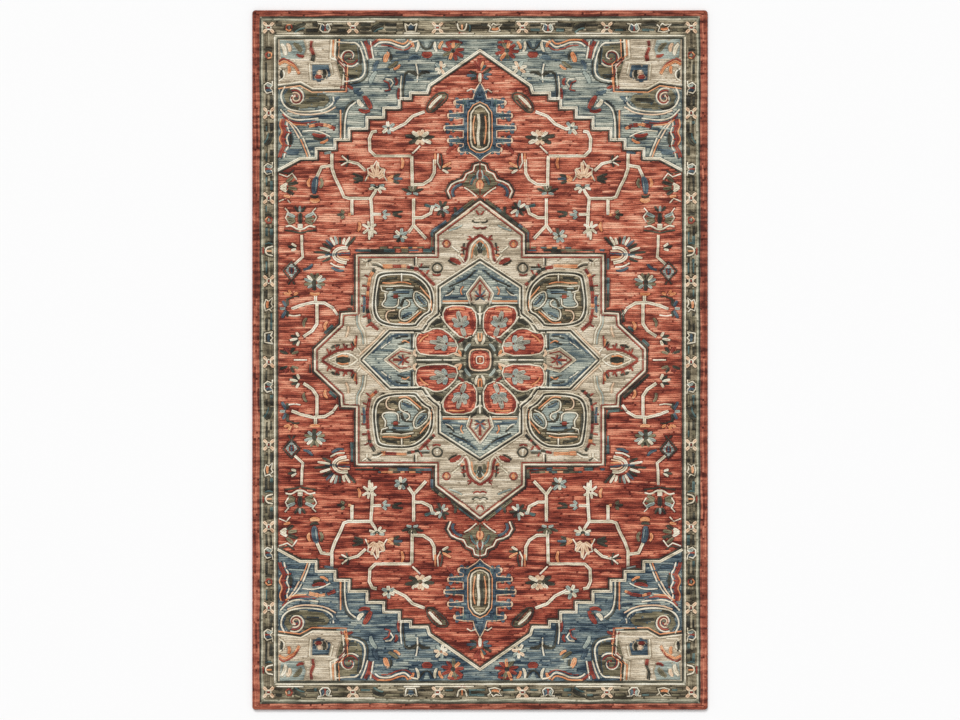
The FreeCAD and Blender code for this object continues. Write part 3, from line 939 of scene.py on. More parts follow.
# ------------------------------------------------------------------ corner flowers
# Small flowers, a bird and loose stems on the blue of the corners, and the
# stepped ivory outline where it meets the red field.
def corner_flowers(hook):
    hook.leaf("orange", 18, [(318, 996), (314, 1012), (306, 1028)])
    hook.leaf("charcoal", 9, [(302, 1030), (296, 1014), (300, 1000)])
    hook.leaf("olive", 13, [(306, 976), (290, 985), (276, 998)])
    hook.leaf("orange", 9, [(288, 972), (276, 976), (268, 986)])
    hook.leaf("charcoal", 11, [(250, 958), (232, 966), (210, 950)])
    hook.leaf("charcoal", 11, [(206, 950), (186, 964), (168, 960)])
    hook.spikes(206, 948, (50, 24, "charcoal"), (130, 24, "charcoal"), width=9, near=4)
    hook.line("ivory", 6, [(214, 990), (208, 962), (210, 928)])
    hook.blossom(130, 975, 25, ["ivory", "grey_blue", "peach"], "orange", 7, 12)
    hook.blossom(90, 1034, 38, ["dark_red", "orange", "olive", "dark_red"], "charcoal", 9, 13)
    hook.leaf("dark_red", 10, [(60, 1060), (84, 1066), (108, 1062)])
    hook.leaf("dark_red", 22, [(192, 1024), (177, 1018), (162, 1024)])
    hook.line("charcoal", 8, [(202, 1062), (186, 1038), (170, 1038), (156, 1062)])
    hook.leaf("ivory", 10, [(214, 1030), (206, 1046), (206, 1064)])
    hook.leaf("ivory", 10, [(144, 1030), (152, 1046), (150, 1064)])
    hook.leaf("orange", 10, [(136, 1040), (134, 1054), (124, 1064)])
    hook.leaf("orange", 10, [(222, 1046), (226, 1058), (236, 1066)])
    hook.patch("grey_blue", [(192, 1066), (184, 1048), (172, 1048), (164, 1066)])
    hook.line("ivory", 6, [(316, 940), (298, 938), (290, 926), (300, 912)], soft=False)
    hook.line("dark_red", 6, [(322, 934), (306, 926), (300, 904), (318, 900)], soft=False)
    hook.leaf("dark_red", 9, [(284, 942), (276, 930), (282, 918)])
    hook.line("charcoal", 6, [(250, 960), (254, 930), (258, 904), (256, 868)])
    hook.line("ivory", 5, [(262, 950), (266, 912), (264, 872)])
    hook.leaf("dark_red", 9, [(270, 908), (274, 890), (272, 872)])
    hook.leaf("ivory", 15, [(408, 870), (402, 856), (390, 848)])
    hook.leaf("dark_red", 18, [(388, 882), (374, 862), (364, 840)])
    hook.leaf("dark_red", 13, [(404, 838), (386, 828), (368, 834)])
    hook.leaf("charcoal", 8, [(382, 852), (374, 846), (366, 850)])
    hook.line("ivory", 6, [(415, 862), (442, 842), (452, 800), (452, 735)])
    hook.line("charcoal", 5, [(421, 868), (449, 846), (459, 800), (459, 735)])
    hook.line("orange", 6, [(466, 836), (466, 800), (466, 740)])
    hook.line("ivory", 5, [(594, 764), (560, 768), (526, 760), (500, 746)])
    hook.broken(
        ["dark_red", "orange", "dark_red"], 13, [(572, 780), (540, 788), (510, 784), (484, 772)], 10,
        24)
    hook.leaf("dark_red", 13, [(560, 756), (540, 748), (516, 750)])
    hook.leaf("charcoal", 10, [(556, 744), (540, 736), (524, 738)])
    hook.leaf("orange", 9, [(508, 738), (520, 728), (534, 726)])
    hook.line("ivory", 6, [(592, 742), (577, 706), (568, 680)])
    hook.line("orange", 5, [(600, 738), (585, 704), (576, 678)])
    hook.line("ivory", 5, [(640, 800), (612, 776), (596, 748)])
    for low, high, level in [
            (640, 560, 700), (600, 480, 812), (480, 400, 900), (360, 300, 968), (300, 210, 1000),
            (250, 160, 934), (520, 490, 690), (160, 60, 1000), (340, 240, 1024), (640, 600, 770)]:
        hook.broken(["navy", "grey_blue", "navy", None], 8, [(low, level), (high, level + 6)], 20, 60)
    hook.leaf("grey_blue", 14, [(346, 964), (362, 944), (366, 924)])
    hook.leaf("navy", 13, [(420, 900), (404, 890), (392, 896)])
    hook.leaf("navy", 12, [(340, 1000), (352, 984), (350, 966)])
    hook.leaf("navy", 12, [(600, 796), (570, 800), (548, 794)])
    hook.leaf("navy", 12, [(470, 880), (486, 872), (488, 856)])
    hook.leaf("navy", 12, [(236, 1010), (216, 1016), (200, 1008)])
    hook.leaf("charcoal", 11, [(640, 714), (630, 734), (634, 756)])
    hook.leaf("navy", 12, [(606, 694), (628, 690), (650, 698)])


for hook in QUARTERS:
    corner_flowers(hook)


FIELD_X = 674
FIELD_Y = 1071


def outline_edge(node, *lines):
    """Hooks lines along a CAD node's rim, (yarn, width, how far outside it), but not on the seam
    with the guard. A rim that ends at the seam with its mirrored half is carried on along it."""
    rim = outlines_of(node)[0]
    if sum(x0 * y1 - x1 * y0 for (x0, y0), (x1, y1) in zip(rim, rim[1:] + rim[:1])) > 0:
        rim = rim[::-1]
    seams = []
    for i, ((x0, y0), (x1, y1)) in enumerate(zip(rim, rim[1:] + rim[:1])):
        if min(abs(x0), abs(x1)) > FIELD_X or min(abs(y0), abs(y1)) > FIELD_Y or max(abs(x0), abs(x1)) < 1:
            seams.append(i)
    path = rim
    if seams:
        runs = [(after - seam, seam + 1) for seam, after in zip(seams, seams[1:] + [seams[0] + len(rim)])]
        count, start = max(runs)
        path = [rim[i % len(rim)] for i in range(start, start + count)]
        mirrored = [(-x, y) for x, y in path[::-1]]
        if abs(path[-1][0]) < 1:
            path = path + mirrored[1:]
        elif abs(path[0][0]) < 1:
            path = mirrored[:-1] + path
    hook = Hook(1, 1)
    hook.end = "head" if "head" in node else "foot"
    for yarn, width, reach in lines:
        closed = not seams
        hook.line(yarn, width, beside(path, reach, closed), closed=closed, soft=False)


for name in ("head_right", "head_left", "foot_right", "foot_left"):
    outline_edge(f"quarter_medallion_{name}", ("ivory", 8, -4), ("charcoal", 5, 3), ("orange", 5, 8))
for end in ("head", "foot"):
    outline_edge(f"corner_ground_{end}_right", ("ivory", 10, -5), ("charcoal", 5, 3))


# ------------------------------------------------------------------ pendants
# A serrated blue pendant with an olive heart stands off each end of the
# medallion, with a palmette between the two.
for hook in HALVES:
    hook.line("ivory", 9, [(-6, 822), (-2, 790), (-8, 750), (-4, 716)])
    hook.line("charcoal", 9, [(6, 824), (10, 790), (4, 750), (8, 712)])
    hook.line("orange", 5, [(17, 816), (21, 786), (19, 750), (14, 722)])
    hook.line("orange", 5, [(-17, 816), (-23, 786), (-21, 750), (-16, 722)])
    outline_edge("pendant_heart_" + hook.end, ("ivory", 6, -3), ("charcoal", 4, 3), ("orange", 4, 7))
    hook.line("ivory", 5, [(-44, 898), (-30, 906), (-12, 900)], soft=False)
    hook.line("ivory", 5, [(40, 894), (26, 904), (10, 898)], soft=False)
    hook.spikes(0, 880, (90, 26, "navy"), (40, 30, "navy"), (140, 30, "navy"), width=10, near=6)
    for x, y in [(40, 862), (46, 830), (44, 780), (46, 730), (40, 700)]:
        hook.leaf("navy", 9, [(x, y + 14), (x + 3, y), (x, y - 12)])
        hook.leaf("navy", 9, [(-x, y + 14), (-x - 3, y), (-x, y - 12)])
    for reach, y in [(80, 859), (101, 816), (113, 774), (101, 733), (66, 702)]:
        for side in (-1, 1):
            hook.leaf("peach", 6, [
                (side * (reach + 4), y + 8), (side * (reach + 8), y), (side * (reach + 3), y - 8)])
            hook.leaf("navy", 15, [(side * (reach - 1), y + 18), (side * (reach - 9), y),
                                   (side * (reach - 3), y - 17)])
            hook.leaf("teal", 12, [(side * (reach - 24), y + 13), (side * (reach - 30), y),
                                   (side * (reach - 22), y - 12)])
    outline_edge(f"pendant_{hook.end}", ("peach", 4, 2), ("navy", 6, -3))
    hook.leaf("ivory", 12, [(0, 930), (0, 958)])
    hook.spikes(-4, 950, (178, 40, "navy"), (205, 30, "charcoal"), (150, 34, "charcoal"), width=10, near=9)
    hook.spikes(4, 952, (8, 34, "navy"), (35, 40, "charcoal"), (330, 26, "navy"), width=10, near=9)
    hook.spikes(
        0, 966, (95, 40, "dark_red"), (70, 34, "orange"), (120, 36, "dark_red"), (45, 26, "teal"),
        width=9, near=4)


def palmette(hook):
    """Half of the stepped palmette between the medallion and the pendant, and its almond leaf."""
    hook.line("navy", 9, [(60, 588), (82, 580), (94, 562), (88, 546)])
    hook.line("ivory", 5, [(54, 577), (34, 566), (12, 546)])
    hook.leaf("orange", 9, [(2, 600), (8, 586), (4, 572)])
    hook.leaf("teal", 10, [(14, 616), (26, 602), (30, 586)])
    hook.leaf("grey_blue", 8, [(4, 634), (10, 620), (8, 606)])
    hook.line("ivory", 6, [(2, 655), (18, 650), (22, 632), (45, 622), (55, 602), (78, 596), (96, 586),
                           (108, 565), (98, 540)], soft=False)
    hook.line("charcoal", 5, [(2, 663), (25, 656), (30, 638), (52, 628), (62, 609), (98, 594),
                              (116, 566), (104, 538)], soft=False)
    hook.patch("olive", [
        (0, 650), (15, 647), (19, 629), (42, 619), (52, 598), (72, 592), (50, 580), (30, 567),
        (0, 545)])
    hook.leaf("ivory", 11, [(170, 842), (152, 864), (128, 884)])
    hook.leaf("charcoal", 8, [(160, 832), (142, 850), (122, 872)])
    almond = [(180, 830), (174, 860), (150, 887), (125, 896), (104, 887), (115, 865), (140, 843), (160, 826)]
    hook.line("charcoal", 5, almond, closed=True)
    hook.patch("olive", almond, soft=True)
    hook.leaf("dark_red", 9, [(100, 905), (128, 909), (152, 901)])


for hook in QUARTERS:
    palmette(hook)


# ------------------------------------------------------------------ field vines
# Ivory vines that turn square corners over the red field, with leaves, tulips,
# stars and big flowers hooked on each side of them.
def vine(hook, *paths, width=11):
    """Stems of one vine, corners kept square."""
    for path in paths:
        hook.line("ivory", width, path, soft=False)


def upper_vines(hook):
    vine(hook, [(495, 690), (495, 640), (485, 610), (465, 570), (455, 545), (440, 540), (360, 540)],
         [(428, 538), (428, 485)], [(495, 650), (530, 645), (545, 612)])
    vine(hook, [(352, 560), (365, 540), (362, 500), (360, 450), (362, 410)], [(362, 487), (330, 487)])
    vine(hook, [(345, 765), (360, 762), (370, 740), (368, 700), (350, 682), (230, 682)],
         [(290, 770), (250, 790), (225, 815), (185, 830)])
    vine(hook, [(228, 682), (226, 570)], [(222, 540), (222, 450), (240, 425)], [(222, 450), (180, 405)],
         [(228, 585), (190, 587), (165, 603), (153, 625), (152, 670)],
         [(222, 475), (195, 475), (165, 490), (158, 515)])
    # bud on the first branch
    hook.line("grey_blue", 4, [(546, 604), (549, 566)], soft=False)
    hook.leaf("navy", 22, [(546, 612), (553, 586), (554, 556)])
    hook.leaf("olive", 11, [(532, 606), (526, 590), (534, 576)])
    hook.leaf("orange", 10, [(568, 606), (576, 592), (570, 578)])
    hook.leaf("orange", 15, [(536, 536), (552, 530), (568, 536)])
    hook.leaf("charcoal", 9, [(540, 548), (554, 544), (566, 550)])
    # big flower between the second and third vines, and the tulip over it
    hook.dot("ivory", 344, 578, 4)
    hook.leaf("charcoal", 9, [(356, 582), (344, 574), (334, 582)])
    hook.spikes(344, 580, (200, 30, "ivory"), (240, 26, "ivory"), (290, 26, "ivory"), (340, 28, "ivory"),
                (10, 22, "grey_blue"), (170, 24, "grey_blue"), width=10)
    hook.spikes(346, 604, (40, 36, "peach"), (70, 50, "peach"), (95, 58, "peach"), (125, 44, "peach"),
                (150, 30, "peach"), width=13)
    hook.line("ivory", 5, [
        (384, 598), (372, 622), (376, 640), (358, 644), (346, 666), (336, 642), (318, 636), (322, 616),
        (310, 598)], soft=False)
    hook.spikes(
        384, 606, (0, 40, "charcoal"), (22, 44, "charcoal"), (340, 38, "charcoal"), (170, 12, "orange"),
        width=10)
    hook.spikes(
        306, 606, (180, 46, "navy"), (160, 40, "charcoal"), (204, 38, "charcoal"), width=10, near=18)
    hook.spikes(310, 604, (150, 24, "orange"), (200, 22, "orange"), width=10, near=2)
    vine(hook, [(440, 664), (408, 656), (382, 632)], width=10)
    hook.spikes(440, 664, (40, 28, "ivory"), (0, 30, "charcoal"), (330, 28, "ivory"), (80, 20, "charcoal"),
                (290, 20, "charcoal"), width=8, near=2)
    # star, leaf and flowers at the branch ends
    hook.spikes(370, 440, (30, 26, "ivory"), (80, 24, "ivory"), (150, 26, "ivory"), (215, 30, "ivory"),
                (270, 38, "ivory"), (320, 26, "ivory"), width=9, near=3)
    hook.spikes(330, 486, (180, 30, "grey_blue"), (140, 22, "grey_blue"), (220, 22, "grey_blue"), width=10)
    hook.spikes(300, 490, (170, 42, "charcoal"), (200, 40, "charcoal"), width=9)
    hook.spikes(
        448, 486, (0, 28, "charcoal"), (40, 20, "olive"), (320, 20, "olive"), (180, 16, "orange"),
        width=11)
    hook.blossom(264, 414, 24, ["grey_blue", "ivory", "grey_blue", "charcoal"], "olive", 7, 12)
    hook.blossom(306, 775, 24, ["grey_blue", "ivory"], "teal", 6, 13)
    hook.spikes(226, 560, (20, 36, "charcoal"), (60, 24, "olive"), (90, 22, "charcoal"), (120, 24, "olive"),
                (160, 36, "charcoal"), (200, 20, "grey_blue"), (340, 20, "grey_blue"), width=10, near=4)
    hook.line("ivory", 5, [(140, 690), (142, 660), (132, 640)], soft=False)
    hook.line("orange", 6, [(150, 690), (150, 650)], soft=False)
    hook.line("charcoal", 5, [(132, 690), (124, 660), (132, 636)])
    hook.spikes(132, 640, (150, 40, "orange"), (180, 34, "charcoal"), (210, 30, "ivory"), width=9)
    hook.blossom(128, 506, 28, ["charcoal", "ivory", "grey_blue", "charcoal"], "navy", 8, 10)
    hook.spikes(165, 512, (20, 20, "teal"), (180, 14, "grey_blue"), width=12, near=2)
    # cloud-shaped flower
    hook.dot("olive", 206, 742, 16, 6)
    hook.spikes(200, 742, (10, 50, "charcoal"), (40, 34, "ivory"), (75, 24, "peach"), (110, 28, "peach"),
                (145, 34, "ivory"), (175, 46, "charcoal"), (205, 40, "ivory"), (335, 40, "charcoal"),
                (300, 24, "peach"), (245, 24, "peach"), width=14)
    vine(hook, [(200, 716), (226, 690)], width=8)
    # single leaves
    hook.leaf("orange", 10, [(262, 640), (256, 660), (262, 676)])
    hook.leaf("charcoal", 10, [(96, 470), (80, 490), (84, 512)])
    hook.leaf("dark_red", 10, [(110, 690), (100, 706), (82, 712)])
    hook.leaf("orange", 10, [(404, 460), (400, 444), (408, 430)])


def side_vines(hook):
    # half flower against the guard
    hook.spikes(668, 576, (180, 20, "ivory"), (150, 26, "ivory"), (210, 24, "ivory"), width=12, near=2)
    hook.spikes(
        664, 580, (165, 56, "charcoal"), (190, 52, "olive"), (140, 50, "olive"), (215, 48, "charcoal"),
        width=13, near=24)
    hook.spikes(664, 550, (190, 30, "orange"), (220, 26, "dark_red"), width=10)
    hook.line("ivory", 5, [(672, 622), (644, 612), (628, 624), (612, 602)], soft=False)
    hook.line("ivory", 5, [(672, 530), (648, 540), (634, 524)], soft=False)
    hook.line("charcoal", 5, [(672, 630), (640, 622), (622, 634)], soft=False)
    # big side flower: two pale leaves, a dark heart and a cup
    hook.leaf("charcoal", 15, [(600, 492), (602, 476), (600, 458)])
    hook.patch("ivory", [(590, 440), (612, 440), (612, 456), (590, 456)])
    hook.spikes(
        602, 484, (60, 34, "charcoal"), (90, 30, "grey_blue"), (120, 34, "charcoal"), width=9, near=12)
    hook.spikes(606, 472, (0, 40, "olive"), (25, 44, "grey_blue"), (335, 38, "olive"), width=13, near=14)
    hook.spikes(596, 472, (180, 42, "olive"), (155, 46, "grey_blue"), (205, 40, "olive"), width=13, near=14)
    hook.line("ivory", 5, [(652, 508), (640, 494), (650, 476), (640, 460)], soft=False)
    hook.line("ivory", 5, [(548, 508), (560, 496), (546, 478), (556, 460)], soft=False)
    hook.line("ivory", 7, [(650, 446), (630, 450), (612, 436), (590, 436), (572, 450), (550, 444)])
    hook.line("charcoal", 8, [(652, 434), (624, 430), (602, 424), (576, 430), (548, 434)])
    vine(hook, [(596, 418), (595, 370), (592, 345), (620, 320)], width=9)
    hook.spikes(608, 374, (10, 34, "charcoal"), (35, 26, "ivory"), (340, 24, "ivory"), width=9)
    hook.dot("navy", 630, 298, 7, 12)
    hook.patch("grey_blue", [(607, 298), (630, 324), (653, 298), (630, 270)])
    hook.line("charcoal", 5, [(602, 298), (630, 329), (658, 298), (630, 265)], closed=True, soft=False)
    hook.spikes(630, 270, (240, 20, "charcoal"), (300, 20, "charcoal"), width=8)
    hook.leaf("navy", 10, [(560, 320), (572, 306), (590, 300)])


def fan_palmette(hook):
    """A fan of pale and dark petals round an open ivory ring with a rust heart."""
    hook.leaf("dark_red", 13, [(-42, 2), (-20, 4), (0, 0)])
    hook.leaf("orange", 8, [(-40, -8), (-22, -8), (-4, -8)])
    hook.line("ivory", 12, [(-34, 22), (-8, 24), (12, 10), (14, -8), (-2, -22), (-30, -28)])
    hook.line("peach", 7, [(-40, 12), (-10, 12), (4, 0), (-8, -14), (-38, -18)])
    hook.spikes(-8, 2, (176, -50, "navy"), (5, 86, "charcoal"), (18, 70, "ivory"), (-10, 76, "ivory"),
                (32, 66, "charcoal"), (-24, 64, "charcoal"), (46, 66, "navy"), (60, 64, "ivory"),
                (74, 62, "grey_blue"), (90, 56, "charcoal"), (106, 56, "ivory"), (120, 66, "ivory"),
                (132, 76, "charcoal"), width=9, near=34)
    hook.line("ivory", 7, [(24, -28), (4, -40), (-24, -42)])
    hook.leaf("navy", 10, [(20, -42), (0, -54), (-20, -52)])


def middle_vines(hook):
    fan_palmette(hook.at(476, 352))
    hook.leaf("charcoal", 15, [(552, 284), (556, 256), (553, 232)])
    hook.spikes(
        553, 258, (20, 36, "grey_blue"), (-10, 34, "olive"), (45, 34, "ivory"), (-40, 28, "grey_blue"),
        (160, 38, "grey_blue"), (190, 34, "olive"), (135, 34, "ivory"), (220, 28, "grey_blue"),
        (70, 34, "olive"), (110, 34, "olive"), width=11, near=10)
    hook.leaf("orange", 12, [(536, 222), (552, 218), (568, 222)])
    vine(hook, [(550, 215), (550, 192)], [(545, 190), (545, 120), (560, 98), (590, 78)],
         [(630, 170), (600, 182), (560, 192), (520, 190), (490, 172)], width=11)
    hook.spikes(602, 72, (350, 34, "ivory"), (20, 30, "charcoal"), (320, 30, "charcoal"), (60, 24, "ivory"),
                (290, 26, "ivory"), width=10)
    hook.spikes(644, 172, (60, 30, "navy"), (90, 34, "charcoal"), (300, 36, "navy"), (270, 28, "charcoal"),
                (0, 24, "grey_blue"), width=11)
    hook.line("charcoal", 6, [(640, 204), (622, 212), (604, 210)])
    hook.line("ivory", 6, [(642, 150), (620, 146), (600, 150)])
    hook.spikes(628, 214, (20, 28, "orange"), (60, 22, "orange"), (150, 22, "orange"), width=10)
    vine(hook, [(490, 170), (476, 150)], width=9)
    hook.leaf("olive", 10, [(580, 140), (590, 126), (588, 110)])
    hook.leaf("orange", 10, [(510, 128), (520, 116), (516, 100)])
    hook.spikes(
        636, 18, (20, 34, "charcoal"), (60, 30, "dark_red"), (120, 28, "charcoal"), (160, 30, "olive"),
        width=10)


for hook in QUARTERS:
    upper_vines(hook)
    side_vines(hook)
    middle_vines(hook)
for hook in SIDES:
    hook.line("ivory", 8, [(622, 0), (578, 0)], soft=False)


# ------------------------------------------------------------------ medallion
# The big stepped medallion: a beige ground with an ivory outline, a lotus arch
# at each end, an eye at each side and a scatter of flowers.
MEDALLION = [
    (0, 530), (147, 420), (147, 350), (412, 350), (412, 157), (462, 155), (464, 118), (552, 36),
    (552, 0)]


def medallion_quarter(hook):
    # lotus arch, the heart in it and the small bird over it
    hook.leaf("charcoal", 9, [(3, 392), (5, 374), (2, 356)])
    hook.leaf("olive", 13, [(12, 380), (17, 364), (12, 348)])
    hook.spikes(0, 366, (60, 34, "grey_blue"), (20, 22, "teal"), width=8)
    hook.line("ivory", 6, [(0, 408), (20, 393), (32, 374), (36, 334), (48, 322)])
    hook.line("dark_red", 9, [(0, 418), (26, 402), (41, 384), (44, 360), (46, 340), (56, 326)])
    hook.leaf("charcoal", 6, [(52, 392), (56, 372), (54, 352)])
    hook.spikes(50, 352, (10, 16, "dark_red"), (340, 14, "orange"), width=7, near=2)
    hook.spikes(46, 372, (20, 18, "dark_red"), (340, 18, "dark_red"), width=7, near=2)
    hook.spikes(28, 404, (50, 18, "dark_red"), (0, 14, "dark_red"), width=7, near=2)
    hook.line("orange", 5, [(2, 398), (16, 386), (25, 370), (28, 340)])
    hook.leaf("ivory", 7, [(0, 476), (10, 470), (20, 478)])
    hook.leaf("charcoal", 8, [(0, 464), (14, 458), (26, 466)])
    hook.leaf("dark_red", 8, [(0, 444), (10, 438), (22, 446)])
    hook.leaf("dark_red", 8, [(2, 486), (10, 492), (12, 502)])
    # round flower, leaves and stems
    hook.dot("orange", 112, 388, 10)
    hook.line("dark_red", 5, [(128, 389), (112, 404), (96, 388), (112, 373)], closed=True)
    hook.line("ivory", 5, [(94, 380), (80, 368), (70, 360)])
    hook.leaf("dark_red", 16, [(66, 320), (80, 332), (100, 338)])
    hook.leaf("charcoal", 8, [(78, 318), (92, 322), (106, 334)])
    hook.line("ivory", 5, [(50, 324), (62, 342), (74, 352)])
    hook.dot("ivory", 143, 308, 7)
    hook.line("charcoal", 7, [
        (162, 308), (150, 324), (132, 322), (124, 306), (136, 292), (154, 294)], closed=True)
    hook.leaf("dark_red", 8, [(132, 286), (144, 282), (158, 286)])
    hook.line("charcoal", 5, [(170, 310), (204, 311)])
    hook.line("grey_blue", 5, [(168, 303), (204, 304)])
    hook.line("ivory", 5, [(213, 344), (213, 316)], soft=False)
    hook.line("charcoal", 5, [(219, 344), (219, 316)], soft=False)
    hook.line("ivory", 5, [(325, 313), (342, 325), (362, 326)])
    hook.line("charcoal", 5, [(322, 306), (344, 317), (360, 318)])
    hook.spikes(378, 328, (30, 18, "ivory"), (150, 16, "charcoal"), (270, 16, "ivory"), width=6, near=2)
    hook.line("ivory", 5, [(404, 152), (404, 120), (386, 96), (382, 52)])
    hook.line("grey_blue", 5, [(411, 150), (412, 116), (394, 92), (390, 52)])
    hook.line("peach", 5, [(318, 100), (348, 66), (384, 34), (402, 18)])
    hook.leaf("grey_blue", 8, [(60, 450), (80, 440), (104, 432)])
    hook.leaf("peach", 8, [(34, 500), (52, 484), (70, 474)])
    # side eye in its serrated arc
    hook.leaf("charcoal", 11, [(436, 2), (458, 6), (480, 2)])
    hook.leaf("orange", 7, [(440, 11), (458, 15), (476, 10)])
    hook.line("ivory", 6, [(408, 0), (430, 18), (455, 24), (480, 14), (506, 2)])
    arc = [(424, 36), (450, 36), (478, 32), (504, 18), (528, 2)]
    hook.line("dark_red", 9, arc)
    for x, y in arc[:4]:
        hook.spikes(x, y, (70, 20, "dark_red"), (110, 16, "dark_red"), width=7, near=2)
    hook.leaf("charcoal", 10, [(470, 50), (484, 48), (496, 40)])
    hook.spikes(416, 40, (95, 42, "dark_red"), (85, 30, "orange"), (60, 24, "charcoal"), width=8, near=2)
    hook.line("ivory", 5, [(396, 22), (410, 40)])
    hook.leaf("peach", 8, [(440, 112), (440, 94), (448, 76)])
    # outline: ivory with dark red inside, ragged dark yarns on the field side
    hook.line("ivory", 7, MEDALLION, soft=False)
    hook.line("dark_red", 5, [
        (0, 521), (140, 416), (140, 343), (405, 343), (405, 150), (455, 148), (458, 115), (545, 33),
        (545, 0)], soft=False)
    hook.line("charcoal", 6, [
        (0, 540), (153, 425), (153, 357), (419, 357), (419, 164), (469, 161), (471, 121), (559, 39),
        (559, 0)], soft=False)
    hook.broken(["charcoal", "teal", "navy", "olive", None], 10,
                [(20, 534), (161, 428), (161, 366), (240, 366), (416, 366)])
    hook.broken(
        ["olive", "orange", None, "charcoal", "teal"], 8, [(170, 376), (240, 375), (340, 375)], 10, 26)
    hook.broken(["charcoal", "teal", None, None], 10,
                [(428, 340), (428, 172), (478, 168), (480, 126), (568, 44), (568, 0)])


def cartouche(hook):
    """An olive cartouche in each quarter of the medallion: three blue petals and a grey one in
    ivory and orange lines, three lines round the rim and a serrated band outside it."""
    hook.leaf("navy", 8, [(184, 186), (198, 200), (208, 214)])
    hook.line("ivory", 5, [
        (172, 172), (170, 196), (196, 222), (218, 232), (224, 206), (206, 178), (182, 168)])
    hook.line("orange", 5, [(163, 164), (161, 200), (186, 228), (200, 246)])
    hook.dot("dark_red", 282, 213, 13, 6)
    hook.line("charcoal", 5, [(232, 237), (262, 240), (290, 236), (318, 234)])
    hook.line("ivory", 5, [
        (222, 244), (262, 249), (300, 246), (332, 248), (328, 232), (308, 226)], soft=False)
    hook.leaf("navy", 9, [(236, 226), (262, 229), (292, 226)])
    hook.line("charcoal", 4, [(228, 208), (256, 206), (264, 180)])
    hook.line("ivory", 5, [(272, 204), (274, 176), (318, 175), (330, 186), (314, 204), (318, 224)])
    hook.line("ivory", 5, [
        (246, 202), (234, 194), (238, 180), (258, 174), (270, 164), (270, 136), (246, 130), (220, 150),
        (204, 166)])
    hook.leaf("navy", 9, [(228, 158), (244, 154), (258, 144)])
    hook.line("orange", 5, [(196, 162), (222, 140), (244, 121), (272, 126)])
    hook.patch("grey_blue", [
        (176, 176), (204, 176), (222, 152), (246, 136), (266, 140), (272, 172), (318, 180), (326, 188),
        (312, 204), (316, 242), (232, 242), (212, 226), (196, 218), (174, 194)])
    hook.line("peach", 5, [(284, 166), (310, 164), (316, 140), (300, 122)])
    hook.line("ivory", 5, [(262, 290), (262, 262)], soft=False)
    hook.line("orange", 5, [(230, 254), (262, 262), (300, 256), (326, 258)])
    hook.leaf("charcoal", 9, [(276, 278), (304, 272), (328, 262)])
    hook.leaf("charcoal", 9, [(338, 240), (344, 210), (342, 180)])
    hook.leaf("charcoal", 9, [(276, 150), (290, 136), (300, 144)])
    hook.leaf("charcoal", 9, [(186, 238), (206, 260), (236, 272)])
    middle_x, middle_y = 259, 203
    rim = [(154, 158), (154, 240), (207, 291), (252, 298), (338, 294), (352, 272), (364, 155), (330, 112),
           (214, 107), (206, 120), (180, 148)]
    for yarn, width, size in [("ivory", 5, 1.0), ("charcoal", 5, 0.945), ("ivory", 5, 0.89)]:
        ring = [(middle_x + (x - middle_x) * size, middle_y + (y - middle_y) * size) for x, y in rim]
        hook.line(yarn, width, ring, closed=True)
    hook.broken(["dark_red", "dark_red", "charcoal"], 11, [(152, 250), (204, 302), (244, 312)], 9, 20)
    hook.broken(["orange", "orange", "dark_red"], 13, [(246, 314), (330, 312)], 16, 40)
    hook.broken(["dark_red", "orange", "dark_red", "charcoal"], 12,
                [(352, 304), (368, 278), (375, 230), (377, 170), (368, 124), (340, 100)], 10, 24)
    for x, y, degrees in [(180, 286, 120), (200, 306, 110), (370, 276, 30), (376, 246, 10), (378, 214, 0),
                          (380, 184, 350), (374, 150, 340), (366, 122, 320)]:
        hook.spikes(x, y, (degrees, 18, "dark_red"), width=8, near=2)
    hook.leaf("navy", 9, [(388, 214), (386, 190), (390, 158)])


for hook in QUARTERS:
    medallion_quarter(hook)
    cartouche(hook)


# ------------------------------------------------------------------ star and rosette
# The middle of the rug: a star with four pale blue arms and a beige spade on
# each, and between them a rosette of eight rust petals round a small flower.
STAR = [(0, 328), (133, 242), (133, 152), (165, 125), (187, 92), (300, 92), (392, 0)]


